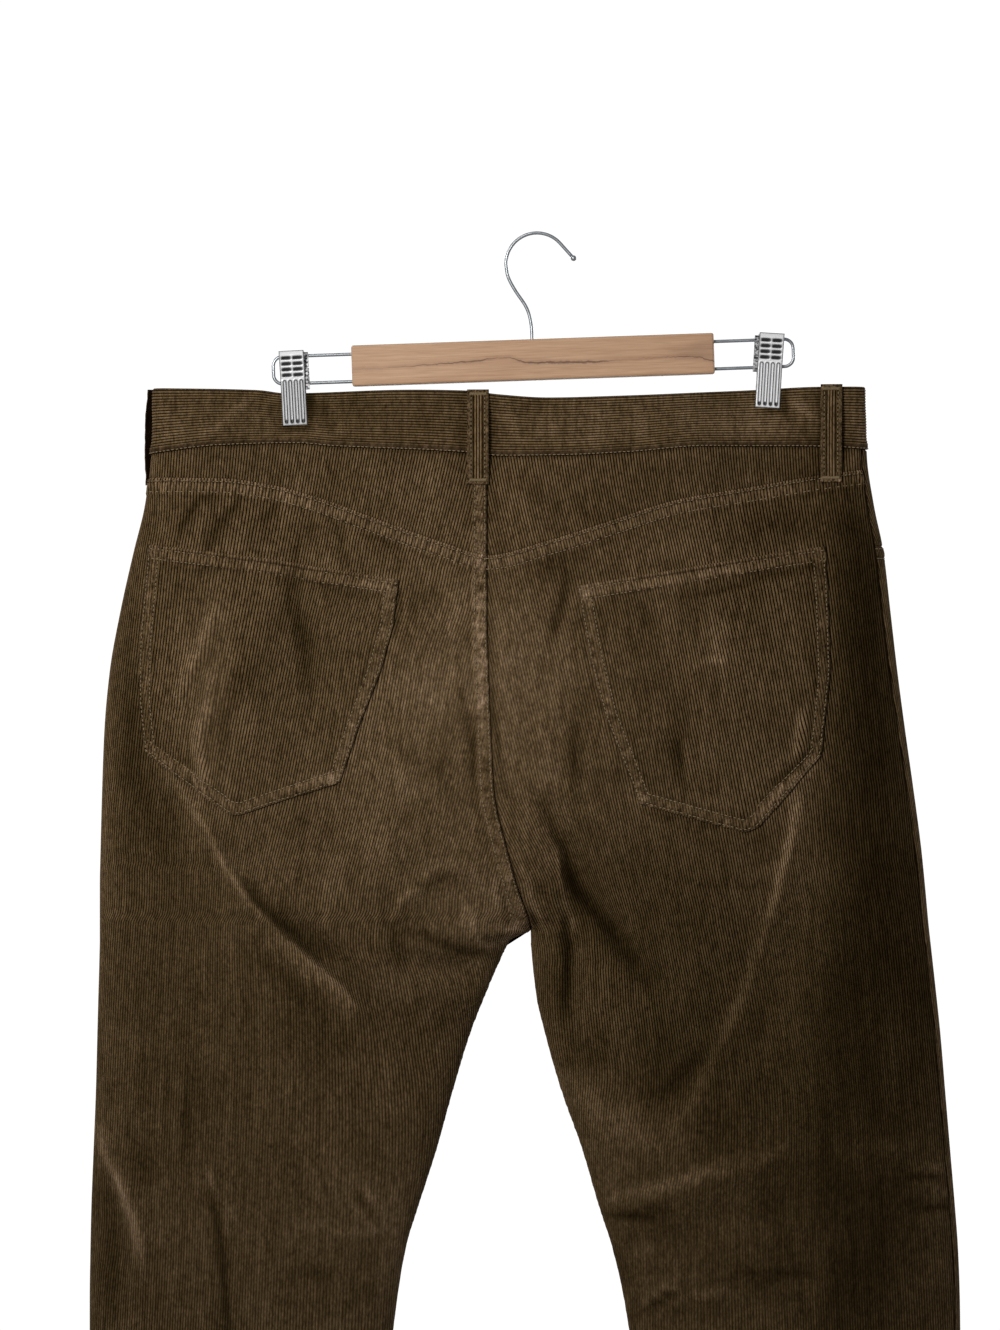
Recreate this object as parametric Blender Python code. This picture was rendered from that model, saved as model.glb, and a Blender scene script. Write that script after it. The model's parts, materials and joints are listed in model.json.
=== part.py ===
"""Corduroy trousers held by the waistband on a wooden bar hanger with two sprung clips.

The frame is in metres with +Z up. The origin is inside the top of the hook's bend, where the
hanger hangs. The garment's back faces -Y, and its left side, seen from behind, is at -X.
Sizes in the tables are in millimetres. "Drop" is the distance below the hook, so Z = -drop.
"""
import math

import bmesh
import bpy
import numpy as np
from mathutils import Matrix, Vector

MM = 0.001
SEAM_GAP = 0.3          # between pieces that are sewn or rest together
CLOTH = 1.8             # wall of a single layer of corduroy with its seam allowance
BAND_CLOTH = 2.1        # wall of the doubled waistband
POCKET_CLOTH = 1.5      # patch pockets and the fly facing

# ---------------------------------------------------------------- garment sizes
CROTCH_DROP = 447.0
SADDLE_HEIGHT = 78.0    # height of the round arch in which the rise seam passes under the crotch
NOTCH_REACH = 75.0      # distance from the crotch's notch over which the seat's shape forgets it
FACE_DEPTH = {"back": 1.06, "front": 0.92}

# The outline seen from behind, and the depth of the tube, from the waist to the hem.
# Above the crotch both inner edges are the centre back seam.
# "left_soft" is the left inner edge without the crotch's notch. The seat's roundness is measured
# from it.
BODY_COLUMNS = ("drop", "left_fold", "left_inner", "left_soft", "right_inner", "right_fold",
                "half_depth", "fold_round")
BODY_ROWS = (
    (98, -247.0, -34.0, -34.0, -34.0, 211.0, 8.0, 10),
    (142, -248.0, -33.0, -33.0, -33.0, 212.0, 10.0, 14),
    (174, -252.0, -32.0, -32.0, -32.0, 216.5, 14.5, 26),
    (203, -259.0, -32.0, -32.0, -32.0, 222.5, 20.0, 45),
    (241, -267.5, -32.0, -32.0, -32.0, 227.0, 26.0, 70),
    (280, -274.5, -31.0, -31.0, -31.0, 231.5, 30.5, 92),
    (318, -278.0, -29.5, -29.5, -29.5, 236.5, 33.5, 110),
    (357, -279.5, -27.5, -27.5, -27.5, 242.0, 35.0, 125),
    (395, -280.5, -19.0, -25.0, -19.0, 247.0, 35.5, 140),
    (420, -281.0, -12.0, -25.0, -12.0, 249.5, 35.0, 150),
    (447, -281.0, -4.0, -27.0, -4.0, 252.0, 34.5, 160),
    (453, -281.0, -16.5, -27.6, -4.0, 252.7, 34.3, 160),
    (463, -281.2, -22.0, -29.2, -3.3, 253.8, 34.0, 160),
    (492, -282.0, -34.5, -36.0, 0.0, 257.0, 33.5, 160),
    (511, -282.5, -42.0, -42.5, 4.5, 259.0, 33.0, 160),
    (550, -283.5, -54.0, -54.0, 15.5, 262.3, 32.5, 160),
    (588, -285.0, -64.5, -64.5, 29.0, 265.5, 32.0, 160),
    (627, -286.5, -77.0, -77.0, 40.5, 268.8, 31.5, 160),
    (650, -287.0, -84.0, -84.0, 48.0, 270.5, 31.2, 160),
    (685, -287.5, -90.0, -90.0, 56.0, 271.8, 31.0, 160),
    (760, -287.5, -97.5, -97.5, 66.0, 272.5, 30.0, 160),
    (850, -288.0, -101.0, -101.0, 71.5, 273.0, 28.5, 160),
    (1200, -288.0, -100.5, -100.5, 76.0, 274.0, 24.0, 160),
)
CENTRE_FRONT = ((98, 2.0), (300, 1.0), (447, -4.0))

# How far each side seam lies from its fold: on the front at the left, on the back at the right.
SIDE_SEAM_COLUMNS = ("drop", "left", "right")
SIDE_SEAM_ROWS = (
    (98, 33.0, 3.0),
    (142, 26.5, 3.5),
    (174, 22.0, 4.6),
    (203, 20.0, 5.5),
    (241, 17.0, 5.6),
    (260, 14.5, 5.5),
    (320, 9.0, 5.0),
    (395, 4.5, 4.5),
    (450, 4.0, 4.0),
    (1200, 4.0, 4.0),
)

# Lines across the garment, as (x, drop).
BAND_TOP = {
    "back": ((-247, 99), (-181, 100), (-162, 102), (-79, 100), (-46, 100.5), (-24, 103), (7, 105),
             (58, 103.7), (120, 101), (140, 100), (182, 98), (211, 98)),
    "front": ((-247, 99), (-163, 102), (-80, 107), (0, 111), (80, 107), (140, 101), (211, 98)),
}
BAND_BOTTOM = {
    "back": ((-248, 141.5), (-202, 136), (-154, 134.5), (-130, 136.5), (-48, 140.5), (-24, 143),
             (17, 142.5), (58, 140.5), (109, 136.5), (161, 136.5), (183, 137), (212, 138.5)),
    "front": ((-248, 141.5), (-163, 141), (-80, 146), (0, 150), (80, 146), (140, 140), (212, 138.5)),
}
YOKE_SEAM = ((-248, 156.5), (-202, 157), (-171, 161), (-140, 169.5), (-99, 184.5), (-58, 199),
             (-32, 206.5), (7, 197), (48, 184), (89, 171), (140, 162), (181, 155), (212, 151))
SCOOP_DEPTH = 62.0      # fall of a front pocket's opening from the waistband to the side seam
SCOOP_COLUMNS = {"left": 5, "right": 12}   # column of each front panel where its opening leaves the waistband

# The clips press the waistband flat.
CLIP_X = (-156.6, 149.4)
PINCHED_HALF_DEPTH = 2.5
PINCH_REACH = 25.0
PINCH_DROPS = (112.0, 215.0)   # full pinch above the first, none below the second

# The largest folds, as soft ridges (+) and troughs (-) along a path of (x, drop) points.
FOLD_COLUMNS = ("name", "face", "height", "width", "path")
FOLD_ROWS = (
    ("left_thigh_trough", "back", -9.0, 17,
     ((-192, 395), (-165, 437), (-140, 464), (-112, 488), (-84, 520))),
    ("left_thigh_ridge", "back", 5.0, 12,
     ((-218, 372), (-201, 405), (-178, 440), (-146, 470), (-112, 500))),
    ("left_crotch_lobe", "back", 6.0, 16, ((-78, 442), (-50, 440), (-30, 446), (-14, 440))),
    ("left_crotch_trough", "back", -8.0, 11, ((-92, 462), (-62, 466), (-38, 466), (-22, 458))),
    ("right_cleft_trough", "back", -12.0, 15,
     ((-2, 372), (14, 402), (30, 432), (50, 456), (70, 482))),
    ("right_inner_trough", "back", -5.0, 9, ((14, 420), (17, 452), (17, 482), (15, 520))),
    ("right_thigh_ridge", "back", 8.0, 14,
     ((168, 368), (162, 404), (141, 455), (122, 505), (104, 545), (82, 575))),
    ("right_thigh_trough", "back", -7.0, 24, ((140, 420), (112, 470), (88, 520), (62, 555))),
    ("right_knee_ridge", "back", 6.0, 11, ((42, 627), (74, 618), (100, 608), (130, 596), (156, 588))),
    ("right_knee_trough", "back", -6.0, 12, ((46, 644), (84, 634), (120, 620), (158, 612))),
    ("left_knee_ridge", "back", 5.0, 12, ((-280, 582), (-266, 608), (-258, 636), (-256, 668))),
    ("left_knee_trough", "back", -6.0, 13, ((-210, 600), (-203, 640), (-197, 680), (-192, 720))),
    ("seat_ridge_left", "back", 4.0, 20, ((-178, 228), (-194, 268), (-210, 312), (-212, 352))),
    ("seat_trough_left", "back", -4.0, 16, ((-158, 222), (-152, 262), (-150, 300))),
    ("front_right_thigh_trough", "front", -7.0, 21, ((24, 398), (60, 432), (98, 470), (132, 520))),
    ("front_right_thigh_ridge", "front", 5.0, 17, ((50, 392), (86, 424), (124, 462), (160, 512))),
    ("front_left_thigh_trough", "front", -7.0, 22, ((-30, 400), (-64, 440), (-108, 476), (-152, 520))),
    ("front_left_thigh_ridge", "front", 5.0, 17, ((-56, 392), (-92, 428), (-134, 464), (-176, 508))),
    ("front_left_knee_trough", "front", -6.0, 15, ((-120, 700), (-170, 716), (-226, 704))),
    ("front_right_knee_trough", "front", -6.0, 15, ((96, 690), (150, 706), (214, 722))),
    ("shin_left_ridge", "back", 4.0, 18, ((-170, 860), (-196, 930), (-214, 1010))),
    ("shin_right_ridge", "front", 4.0, 18, ((150, 880), (176, 960), (200, 1040))),
)

# Levels of the rows of a leg panel. Each panel's own top line bends the first of them.
PANEL_DROPS = (180, 200, 222, 246, 270, 295, 320, 345, 368, 388, 405, 420, 431, 439, 444, 447, 451, 457,
               466, 478, 494, 512, 532, 555, 580, 607, 636, 666, 700, 760, 830, 910, 1000, 1100, 1200)
TOP_LINE_REACH = 130.0  # drop over which the rows straighten out below a bent top line

# Columns round a panel, as a fraction of the way from the fold to the inner edge.
WRAP_COLUMNS = (0.78, 0.56, 0.36, 0.18)    # from the side seam to the fold, where the panel turns the fold
FOLD_COLUMNS_Q = (0.0, 0.035, 0.075, 0.125, 0.185, 0.255, 0.335, 0.42, 0.51, 0.6, 0.69, 0.775, 0.85,
                  0.91, 0.96, 1.0)
SHORT_COLUMNS_Q = (0.0, 0.05, 0.12, 0.2, 0.29, 0.38, 0.48, 0.58, 0.68, 0.77, 0.85, 0.915, 0.965, 1.0)
YOKE_ROWS = 5
FACING_ROWS = 6
SCOOP_TIP = 0.12        # part of a column by which a facing stops short of its opening's corner

# Patch pockets, as the corners and curved sides of a convex outline of (x, drop) points.
POCKETS = {
    "pocket_back_left": ((-248.5, 199.5), (-88.7, 222.5), (-91.5, 251), (-99.5, 280.5), (-113, 315),
                         (-125.5, 351), (-194.5, 373), (-250.5, 332), (-254, 262)),
    "pocket_back_right": ((25, 226.5), (184.5, 201), (186, 239), (187, 281), (180.5, 335), (136.5, 384.5),
                          (65, 365), (42.5, 309), (33.5, 274)),
}
FLY_OUTLINE = ((1.2, 151), (-36, 149.5), (-36, 258), (-32, 272), (-22, 284), (-8, 290), (0.2, 291))

# Belt loops: (name, half, face, distance from the fold, top drop, bottom drop).
LOOP_ROWS = (
    ("belt_loop_centre_back", "left", "back", 208.5, 100.0, 161.0),
    ("belt_loop_side_left", "left", "front", 3.5, 99.5, 161.0),
    ("belt_loop_side_right", "right", "back", 22.5, 96.5, 159.5),
    ("belt_loop_front_left", "left", "front", 131.0, 103.5, 164.0),
    ("belt_loop_front_right", "right", "front", 101.0, 103.0, 163.0),
)
LOOP_WIDTH = 14.0
LOOP_CLOTH = 2.4
# Share of the loop's height, and how far it stands off the cloth there.
LOOP_STANDOFF = ((0.0, 0.9), (0.09, 1.1), (0.2, 2.6), (0.36, 3.4), (0.62, 3.4), (0.8, 2.6), (0.91, 1.1),
                 (1.0, 0.9))

BAND_LAP = (-18.0, 20.0)        # x where the under end and the over end of the waistband stop
BAND_LAP_STEP = 2.7             # the under end lies this much further in
BAND_LAP_FADE = (23.0, 48.0)    # x over which the under end comes back out
BAND_ROWS = 4
BAND_MIDDLE = (118, 142, 166, 190, 214, 230)    # distances from the fold of the stations between the clips
PATCH_SLOPE = 1.3       # a patch on a sloping face moves out this much more than the seam gap
BUTTON = {"x": 9.0, "drop": 130.0, "radius": 8.5, "thickness": 2.6, "rim": 0.8, "dish": 5.6}

# ---------------------------------------------------------------- hanger sizes
WIRE_RADIUS = 1.1
HOOK_RADIUS = 20.0              # of the bend, to the wire's middle
HOOK_TAIL = 11.0
HOOK_TAIL_ANGLE = 42.0          # degrees up from +X at which the bend ends
HOOK_STEM = ((-3.2, 80.0), (-3.2, 67.0), (-4.0, 56.0), (-7.0, 46.5), (-14.2, 35.6), (-18.6, 27.0))
HOOK_TIP_RADIUS = 1.9
BAR_CENTRE = (-2.6, 80.5)       # x, drop
BAR_SIZE = (233.0, 12.0, 26.2)
BAR_TILT = 2.0                  # degrees, the right end up
BAR_BEVEL = 1.3
HOLE_CLEARANCE = 0.3
HOLE_DEPTH = 14.0
LOOP_WIRE_MIDDLE = -1.1         # height of each wire loop's middle from the bar's
LOOP_WIRE_SPREAD = 17.6         # between the two wires of a loop
LOOP_WIRE_ENDS = (-167.0, 167.5)
LOOP_WIRE_CORNER = 6.0
CLIP_PLACES = {"left": (-156.6, 98.9, -3.05), "right": (149.4, 87.6, 3.4)}   # x, drop, lean in degrees
CLIP_WIDTH = 16.0
CLIP_HALF_HEIGHT = 24.0
CLIP_PLATE = 1.0
CLIP_JAW_Y = 2.85               # inner face of a jaw from the middle plane
CLIP_BEND_Z = 6.5               # above it the plate flares out as a finger grip
CLIP_FLARE_Y = 8.0
CLIP_GROOVE = 1.7               # width of the pressed grooves
CLIP_RIB = 1.9                  # between two grooves
CLIP_RECESS = 0.4
CLIP_GROOVE_Z = (-22.6, 5.4)
CLIP_DIMPLE_Z = (8.9, 12.6, 16.4, 20.2)
CLIP_DIMPLE_HALF = 0.9
SPRING_WIDTH = 12.0
SPRING_SHIFT = 4.6              # towards the bar
SPRING_INNER_Y = 1.5
SPRING_STEEL = 0.8
SPRING_LOW_Z = -1.0
SPRING_ARCH_Z = {"left": 20.7, "right": 20.1}

COLOURS = {
    "cloth": ((0.075, 0.050, 0.025), 0.95, 0.0),
    "wood": ((0.49, 0.30, 0.19), 0.5, 0.0),
    "steel": ((0.62, 0.63, 0.64), 0.25, 1.0),
    "button": ((0.10, 0.07, 0.045), 0.4, 0.0),
}


# ---------------------------------------------------------------- curves and tables
def smooth_curve(points_x, points_y, x):
    """A smooth curve through table rows that never overshoots between two of them."""
    px = np.asarray(points_x, float)
    py = np.asarray(points_y, float)
    step = np.diff(px)
    slope = np.diff(py) / step
    tangent = np.empty_like(py)
    tangent[0] = slope[0]
    tangent[-1] = slope[-1]
    before = slope[:-1]
    after = slope[1:]
    steady = before * after > 0
    weight_a = 2 * step[1:] + step[:-1]
    weight_b = step[1:] + 2 * step[:-1]
    safe_before = np.where(steady, before, 1.0)
    safe_after = np.where(steady, after, 1.0)
    mean = (weight_a + weight_b) / (weight_a / safe_before + weight_b / safe_after)
    tangent[1:-1] = np.where(steady, mean, 0.0)
    x = np.clip(x, px[0], px[-1])
    i = np.clip(np.searchsorted(px, x) - 1, 0, len(step) - 1)
    t = (x - px[i]) / step[i]
    rise = py[i] * (1 + 2 * t) * (1 - t) ** 2 + py[i + 1] * t * t * (3 - 2 * t)
    lean = tangent[i] * t * (1 - t) ** 2 + tangent[i + 1] * t * t * (t - 1)
    return rise + lean * step[i]


def table_value(columns, rows, name, drop):
    """One named column of a table at a drop."""
    index = columns.index(name)
    return smooth_curve([row[0] for row in rows], [row[index] for row in rows], drop)


def line_drop(line, x):
    """The drop of a line across the garment at x."""
    return smooth_curve([p[0] for p in line], [p[1] for p in line], x)


def smoothstep(low, high, value):
    t = np.clip((value - low) / (high - low), 0.0, 1.0)
    return t * t * (3 - 2 * t)


def quarter_round(t):
    """Height of a quarter circle at the fraction t of its radius, from its edge."""
    t = np.clip(t, 0.0, 1.0)
    return np.sqrt(1.0 - (1.0 - t) ** 2)


def path_through(points, steps):
    """Points on a smooth path through the given points."""
    pts = np.asarray(points, float)
    padded = np.vstack([2 * pts[0] - pts[1], pts, 2 * pts[-1] - pts[-2]])
    out = []
    for i in range(1, len(padded) - 2):
        a, b, c, d = padded[i - 1:i + 3]
        for t in np.arange(steps) / steps:
            out.append(0.5 * (2 * b + (c - a) * t + (2 * a - 5 * b + 4 * c - d) * t ** 2
                              + (3 * b - a - 3 * c + d) * t ** 3))
    out.append(pts[-1])
    return np.array(out)


# ---------------------------------------------------------------- the garment's surface
def body(name, drop):
    return table_value(BODY_COLUMNS, BODY_ROWS, name, drop)


def inner_edge(half, face, drop):
    """x of the rise seam above the crotch, and of the leg's inner fold below it."""
    edge = body(half + "_inner", drop)
    if face == "back":
        return edge
    front = smooth_curve([p[0] for p in CENTRE_FRONT], [p[1] for p in CENTRE_FRONT], drop)
    return np.where(drop < CROTCH_DROP, front, edge)


def saddle_height(drop):
    """Height above the crotch, as a part of the arch in which the rise seam passes under it."""
    return np.clip((CROTCH_DROP - drop) / SADDLE_HEIGHT, 0.0, 1.0)


def fold_relief(face, x, drop):
    """How far the folds lift the cloth outwards."""
    lift = np.zeros(np.broadcast(x, drop).shape)
    for row in FOLD_ROWS:
        fold = dict(zip(FOLD_COLUMNS, row))
        if fold["face"] != face:
            continue
        curve = path_through(fold["path"], 4)
        nearest = np.full(lift.shape, 1e9)
        along = np.zeros(lift.shape)
        for i in range(len(curve) - 1):
            (ax, az), (bx, bz) = curve[i], curve[i + 1]
            length2 = (bx - ax) ** 2 + (bz - az) ** 2
            t = np.clip(((x - ax) * (bx - ax) + (drop - az) * (bz - az)) / length2, 0, 1)
            d2 = (x - ax - t * (bx - ax)) ** 2 + (drop - az - t * (bz - az)) ** 2
            closer = d2 < nearest
            nearest = np.where(closer, d2, nearest)
            along = np.where(closer, (i + t) / (len(curve) - 1), along)
        taper = np.sin(np.pi * np.clip(0.12 + 0.76 * along, 0, 1)) ** 0.7
        lift += fold["height"] * taper * np.exp(-nearest / fold["width"] ** 2)
    return lift


def half_depth_at(half, face, x, drop, fold_x, inner_x, inset):
    """Distance of the cloth from the middle plane."""
    width = np.abs(inner_x - fold_x)
    to_inner = np.abs(inner_x - x)
    if half == "left":
        notch = (body("left_inner", drop) - body("left_soft", drop)) * smoothstep(0, NOTCH_REACH, to_inner)
        width = width - notch
        to_inner = to_inner - notch
    round_out = np.minimum(body("fold_round", drop), width / 2)
    full = body("half_depth", drop) * FACE_DEPTH[face] - inset
    from_fold = quarter_round(np.abs(x - fold_x) / round_out)
    from_inner = quarter_round(np.hypot(to_inner / (width / 2), saddle_height(drop)))
    shape = from_fold * from_inner
    depth = full * shape
    fade = 1 - smoothstep(*PINCH_DROPS, drop)
    for clip_x in CLIP_X:
        pinch = np.exp(-((x - clip_x) / PINCH_REACH) ** 6) * fade
        depth = depth * (1 - pinch) + (PINCHED_HALF_DEPTH - inset) * pinch
    return depth + fold_relief(face, x, drop) * smoothstep(0.15, 0.7, shape)


def cloth_point(half, face, u, drop, inset=0.0):
    """A point of the cloth. u runs from 0 at the side fold to 1 at the inner edge."""
    drop = np.asarray(drop, float)
    towards = 1.0 if half == "left" else -1.0
    arch = quarter_round(saddle_height(drop))
    fold_x = body(half + "_fold", drop) + towards * inset
    inner_x = inner_edge(half, face, drop) - towards * inset * (1 - arch)
    x = fold_x + (inner_x - fold_x) * u
    depth = half_depth_at(half, face, x, drop, fold_x, inner_x, inset)
    y = -depth if face == "back" else depth
    return np.stack(np.broadcast_arrays(x, y, -drop), axis=-1)


def u_from_q(q):
    """Spacing that is close together at both ends, as the angles of an ellipse are."""
    return (1 - np.cos(np.pi * np.abs(q))) / 2


def signed_point(half, q, drop, inset=0.0):
    """A point at a signed fraction q: positive on the back, negative on the front, 0 at the fold."""
    q = np.asarray(q, float)
    back = cloth_point(half, "back", u_from_q(q), drop, inset)
    front = cloth_point(half, "front", u_from_q(q), drop, inset)
    return np.where((q >= 0)[..., None], back, front)


def side_seam_q(half, drop):
    """Signed q of the side seam: on the front at the left, on the back at the right."""
    distance = table_value(SIDE_SEAM_COLUMNS, SIDE_SEAM_ROWS, half, drop)
    width = np.abs(body(half + "_inner", drop) - body(half + "_fold", drop))
    q = np.arccos(1 - 2 * distance / width) / np.pi
    return -q if half == "left" else q


def panel_columns(half, face, drop):
    """Signed q of each column of a panel at each drop, from the side seam to the inner edge."""
    seam = side_seam_q(half, drop)
    sign = 1.0 if face == "back" else -1.0
    wraps = (half == "left") == (face == "back")
    if wraps:
        turn = [seam] + [seam * fraction for fraction in WRAP_COLUMNS]
        rest = [np.full_like(seam, sign * q) for q in FOLD_COLUMNS_Q]
        return np.stack(turn + rest, axis=-1)
    start = np.abs(seam)
    return np.stack([sign * (start + (1 - start) * q) for q in SHORT_COLUMNS_Q], axis=-1)


# ---------------------------------------------------------------- meshes
def make_material(name):
    colour, roughness, metallic = COLOURS[name]
    material = bpy.data.materials.new(name)
    material.use_nodes = True
    shader = material.node_tree.nodes["Principled BSDF"]
    shader.inputs["Base Color"].default_value = (*colour, 1)
    shader.inputs["Roughness"].default_value = roughness
    shader.inputs["Metallic"].default_value = metallic
    material.diffuse_color = (*colour, 1)
    return material


def add_object(name, mesh, material):
    obj = bpy.data.objects.new(name, mesh)
    mesh.materials.append(MATERIALS[material])
    mesh.shade_smooth()
    mesh.set_sharp_from_angle(angle=math.radians(40))
    bpy.context.collection.objects.link(obj)
    return obj


def finish_bmesh(name, bm, material):
    bmesh.ops.recalc_face_normals(bm, faces=bm.faces)
    mesh = bpy.data.meshes.new(name)
    bm.to_mesh(mesh)
    bm.free()
    return add_object(name, mesh, material)


def grid_triangles(rows, cols, offset=0):
    """Two triangles for each cell of a grid, always split along the same diagonal."""
    faces = []
    for i in range(rows - 1):
        for j in range(cols - 1):
            a = offset + i * cols + j
            faces.append((a, a + 1, a + cols + 1))
            faces.append((a, a + cols + 1, a + cols))
    return faces


def rim_indices(rows, cols):
    """Indices round the edge of a grid."""
    top = list(range(cols))
    right = [i * cols + cols - 1 for i in range(1, rows)]
    bottom = [(rows - 1) * cols + j for j in range(cols - 2, -1, -1)]
    left = [i * cols for i in range(rows - 2, 0, -1)]
    return top + right + bottom + left


def sheet_solid(name, outer, inner, material):
    """A closed wall between two grids of points, in millimetres."""
    rows, cols = outer.shape[:2]
    count = rows * cols
    points = np.vstack([outer.reshape(-1, 3), inner.reshape(-1, 3)]) * MM
    faces = grid_triangles(rows, cols)
    faces += [(a, c, b) for a, b, c in grid_triangles(rows, cols, count)]
    rim = rim_indices(rows, cols)
    for a, b in zip(rim, rim[1:] + rim[:1]):
        faces.append((a, a + count, b + count))
        faces.append((a, b + count, b))
    bm = bmesh.new()
    verts = [bm.verts.new(p) for p in points]
    for face in faces:
        bm.faces.new([verts[k] for k in face])
    return finish_bmesh(name, bm, material)


def pull_in(grid, sides, gap=SEAM_GAP / 2 + 0.02):
    """Moves the named edges of a grid towards the next row or column, to leave the seam's gap."""
    grid = grid.copy()
    for side in sides:
        edge, near = {
            "first": (np.s_[:, 0], np.s_[:, 1]), "last": (np.s_[:, -1], np.s_[:, -2]),
            "top": (np.s_[0], np.s_[1]), "bottom": (np.s_[-1], np.s_[-2]),
        }[side]
        along = grid[near] - grid[edge]
        grid[edge] += along * gap / np.linalg.norm(along, axis=-1, keepdims=True)
    return grid


# ---------------------------------------------------------------- panels
def band_bottom_drop(q, x):
    """The drop of the waistband's lower edge, on whichever face the signed q is."""
    return np.where(q >= 0, line_drop(BAND_BOTTOM["back"], x), line_drop(BAND_BOTTOM["front"], x))


def top_drop(half, face, q, x):
    """The drop of a leg panel's top edge: the yoke seam behind, the waistband and scoop in front."""
    if face == "back":
        return np.where(q >= 0, line_drop(YOKE_SEAM, x), YOKE_SEAM[0][1])
    start = x[SCOOP_COLUMNS[half]]
    across = (x - start) / (x[0] - start)
    return band_bottom_drop(q, x) + SCOOP_DEPTH * quarter_round(across)


def column_q(half, face, drops, positions=None):
    """Signed q at a grid of drops. A position between two columns is read between them."""
    if positions is None:
        positions = np.arange(drops.shape[1])
    q = np.empty_like(drops)
    for k, position in enumerate(positions):
        columns = panel_columns(half, face, drops[:, k])
        low = int(min(position, columns.shape[1] - 2))
        q[:, k] = columns[:, low] + (position - low) * (columns[:, low + 1] - columns[:, low])
    return q


def panel_drops(half, face):
    """The drop of each point of a leg panel: straight rows that bend up to meet the top line."""
    levels = np.array(PANEL_DROPS, float)
    count = panel_columns(half, face, levels[:1]).shape[1]
    top = np.full(count, levels[0])
    for _ in range(3):
        q = column_q(half, face, top[None, :])[0]
        top = top_drop(half, face, q, signed_point(half, q, top)[:, 0])
    fade = 1 - smoothstep(levels[0], levels[0] + TOP_LINE_REACH, levels)
    return levels[:, None] + (top - levels[0])[None, :] * fade[:, None]


def leg_panel(half, face):
    """One leg panel, and what lies against it: its outer grid and the drops of its top row."""
    drops = panel_drops(half, face)
    q = column_q(half, face, drops)
    outer, inner = [pull_in(signed_point(half, q, drops, inset), ("first", "last", "top"))
                    for inset in (0.0, CLOTH)]
    sheet_solid(f"{face}_{half}", outer, inner, "cloth")
    return outer, drops[0]


def upper_piece(name, half, face, top_row, positions, rows):
    """A yoke or a pocket facing: the cloth between the waistband and a leg panel's top edge."""
    columns = np.arange(len(top_row))
    lower = np.interp(positions, columns, top_row)
    upper = lower
    for _ in range(4):
        q = column_q(half, face, upper[None, :], positions)[0]
        upper = band_bottom_drop(q, signed_point(half, q, upper)[:, 0])
    share = np.linspace(0, 1, rows)[:, None]
    drops = upper * (1 - share) + lower * share
    q = column_q(half, face, drops, positions)
    walls = []
    for inset in (0.0, CLOTH):
        grid = signed_point(half, q, drops, inset)
        seam = signed_point(half, column_q(half, face, top_row[None, :])[0], top_row, inset)
        grid[-1] = np.stack([np.interp(positions, columns, seam[:, axis]) for axis in range(3)], axis=-1)
        walls.append(pull_in(grid, ("first", "last", "top", "bottom")))
    sheet_solid(name, *walls, "cloth")


def patch_on(name, grid, outline, material="cloth"):
    """A flat-cut piece lying on a panel: the panel's own facets inside an outline, moved out."""
    rows, cols = grid.shape[:2]
    bm = bmesh.new()
    verts = [bm.verts.new(p * MM) for p in grid.reshape(-1, 3)]
    for face in grid_triangles(rows, cols):
        bm.faces.new([verts[k] for k in face])
    corners = [Vector((x * MM, 0, -drop * MM)) for x, drop in outline]
    middle = sum(corners, Vector()) / len(corners)
    for a, b in zip(corners, corners[1:] + corners[:1]):
        outward = (b - a).cross(Vector((0, 1, 0))).normalized()
        if outward.dot(a - middle) < 0:
            outward = -outward
        parts = bm.verts[:] + bm.edges[:] + bm.faces[:]
        bmesh.ops.bisect_plane(bm, geom=parts, dist=1e-7, plane_co=a, plane_no=outward, clear_outer=True)
    bmesh.ops.triangulate(bm, faces=bm.faces)
    away = Vector((0, math.copysign(1, grid[..., 1].mean()), 0))
    bmesh.ops.translate(bm, verts=bm.verts, vec=away * SEAM_GAP * PATCH_SLOPE * MM)
    made = bmesh.ops.extrude_face_region(bm, geom=bm.faces[:])["geom"]
    raised = [v for v in made if isinstance(v, bmesh.types.BMVert)]
    bmesh.ops.translate(bm, verts=raised, vec=away * POCKET_CLOTH * MM)
    finish_bmesh(name, bm, material)


# ---------------------------------------------------------------- waistband and its parts
def band_stations():
    """The waistband's stations from its under end, round the back, to its over end: half, face, u."""
    stations = []
    for half, face in (("right", "front"), ("right", "back"), ("left", "back"), ("left", "front")):
        fold = float(body(half + "_fold", 120))
        inner = float(inner_edge(half, face, 120))
        width = abs(inner - fold)
        clip_x = min(CLIP_X, key=lambda x: abs(x - fold))
        clip_at = abs(clip_x - fold)
        ends = [width]
        if face == "front":
            ends = [abs(BAND_LAP[half == "left"] - fold)]
        near_fold = [1.0, 3.0, 6.5, 12.0, 22.0, clip_at - 27, clip_at - 12, clip_at + 12, clip_at + 27]
        middle = [d for d in BAND_MIDDLE if clip_at + 35 < d < ends[0] - 8]
        distances = [0.0] + sorted(near_fold + middle) + ends
        run = [(half, face, d / width) for d in distances]
        if (half, face) in (("right", "front"), ("left", "back")):
            run.reverse()
        if stations and run[0][2] == stations[-1][2]:
            run = run[1:]
        stations += run
    return stations


def band_grid(stations, inset):
    points = np.empty((BAND_ROWS, len(stations), 3))
    for k, (half, face, u) in enumerate(stations):
        fold = body(half + "_fold", 120)
        x = float(fold + (inner_edge(half, face, 120) - fold) * u)
        top, bottom = line_drop(BAND_TOP[face], x), line_drop(BAND_BOTTOM[face], x) - SEAM_GAP
        drops = np.linspace(top, bottom, BAND_ROWS)
        column = cloth_point(half, face, u, drops, inset)
        if face == "front" and half == "right":
            column[:, 1] -= BAND_LAP_STEP * (1 - smoothstep(*BAND_LAP_FADE, column[:, 0]))
        points[:, k] = column
    return points


def waistband():
    stations = band_stations()
    sheet_solid("waistband", band_grid(stations, 0.0), band_grid(stations, BAND_CLOTH), "cloth")


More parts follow.
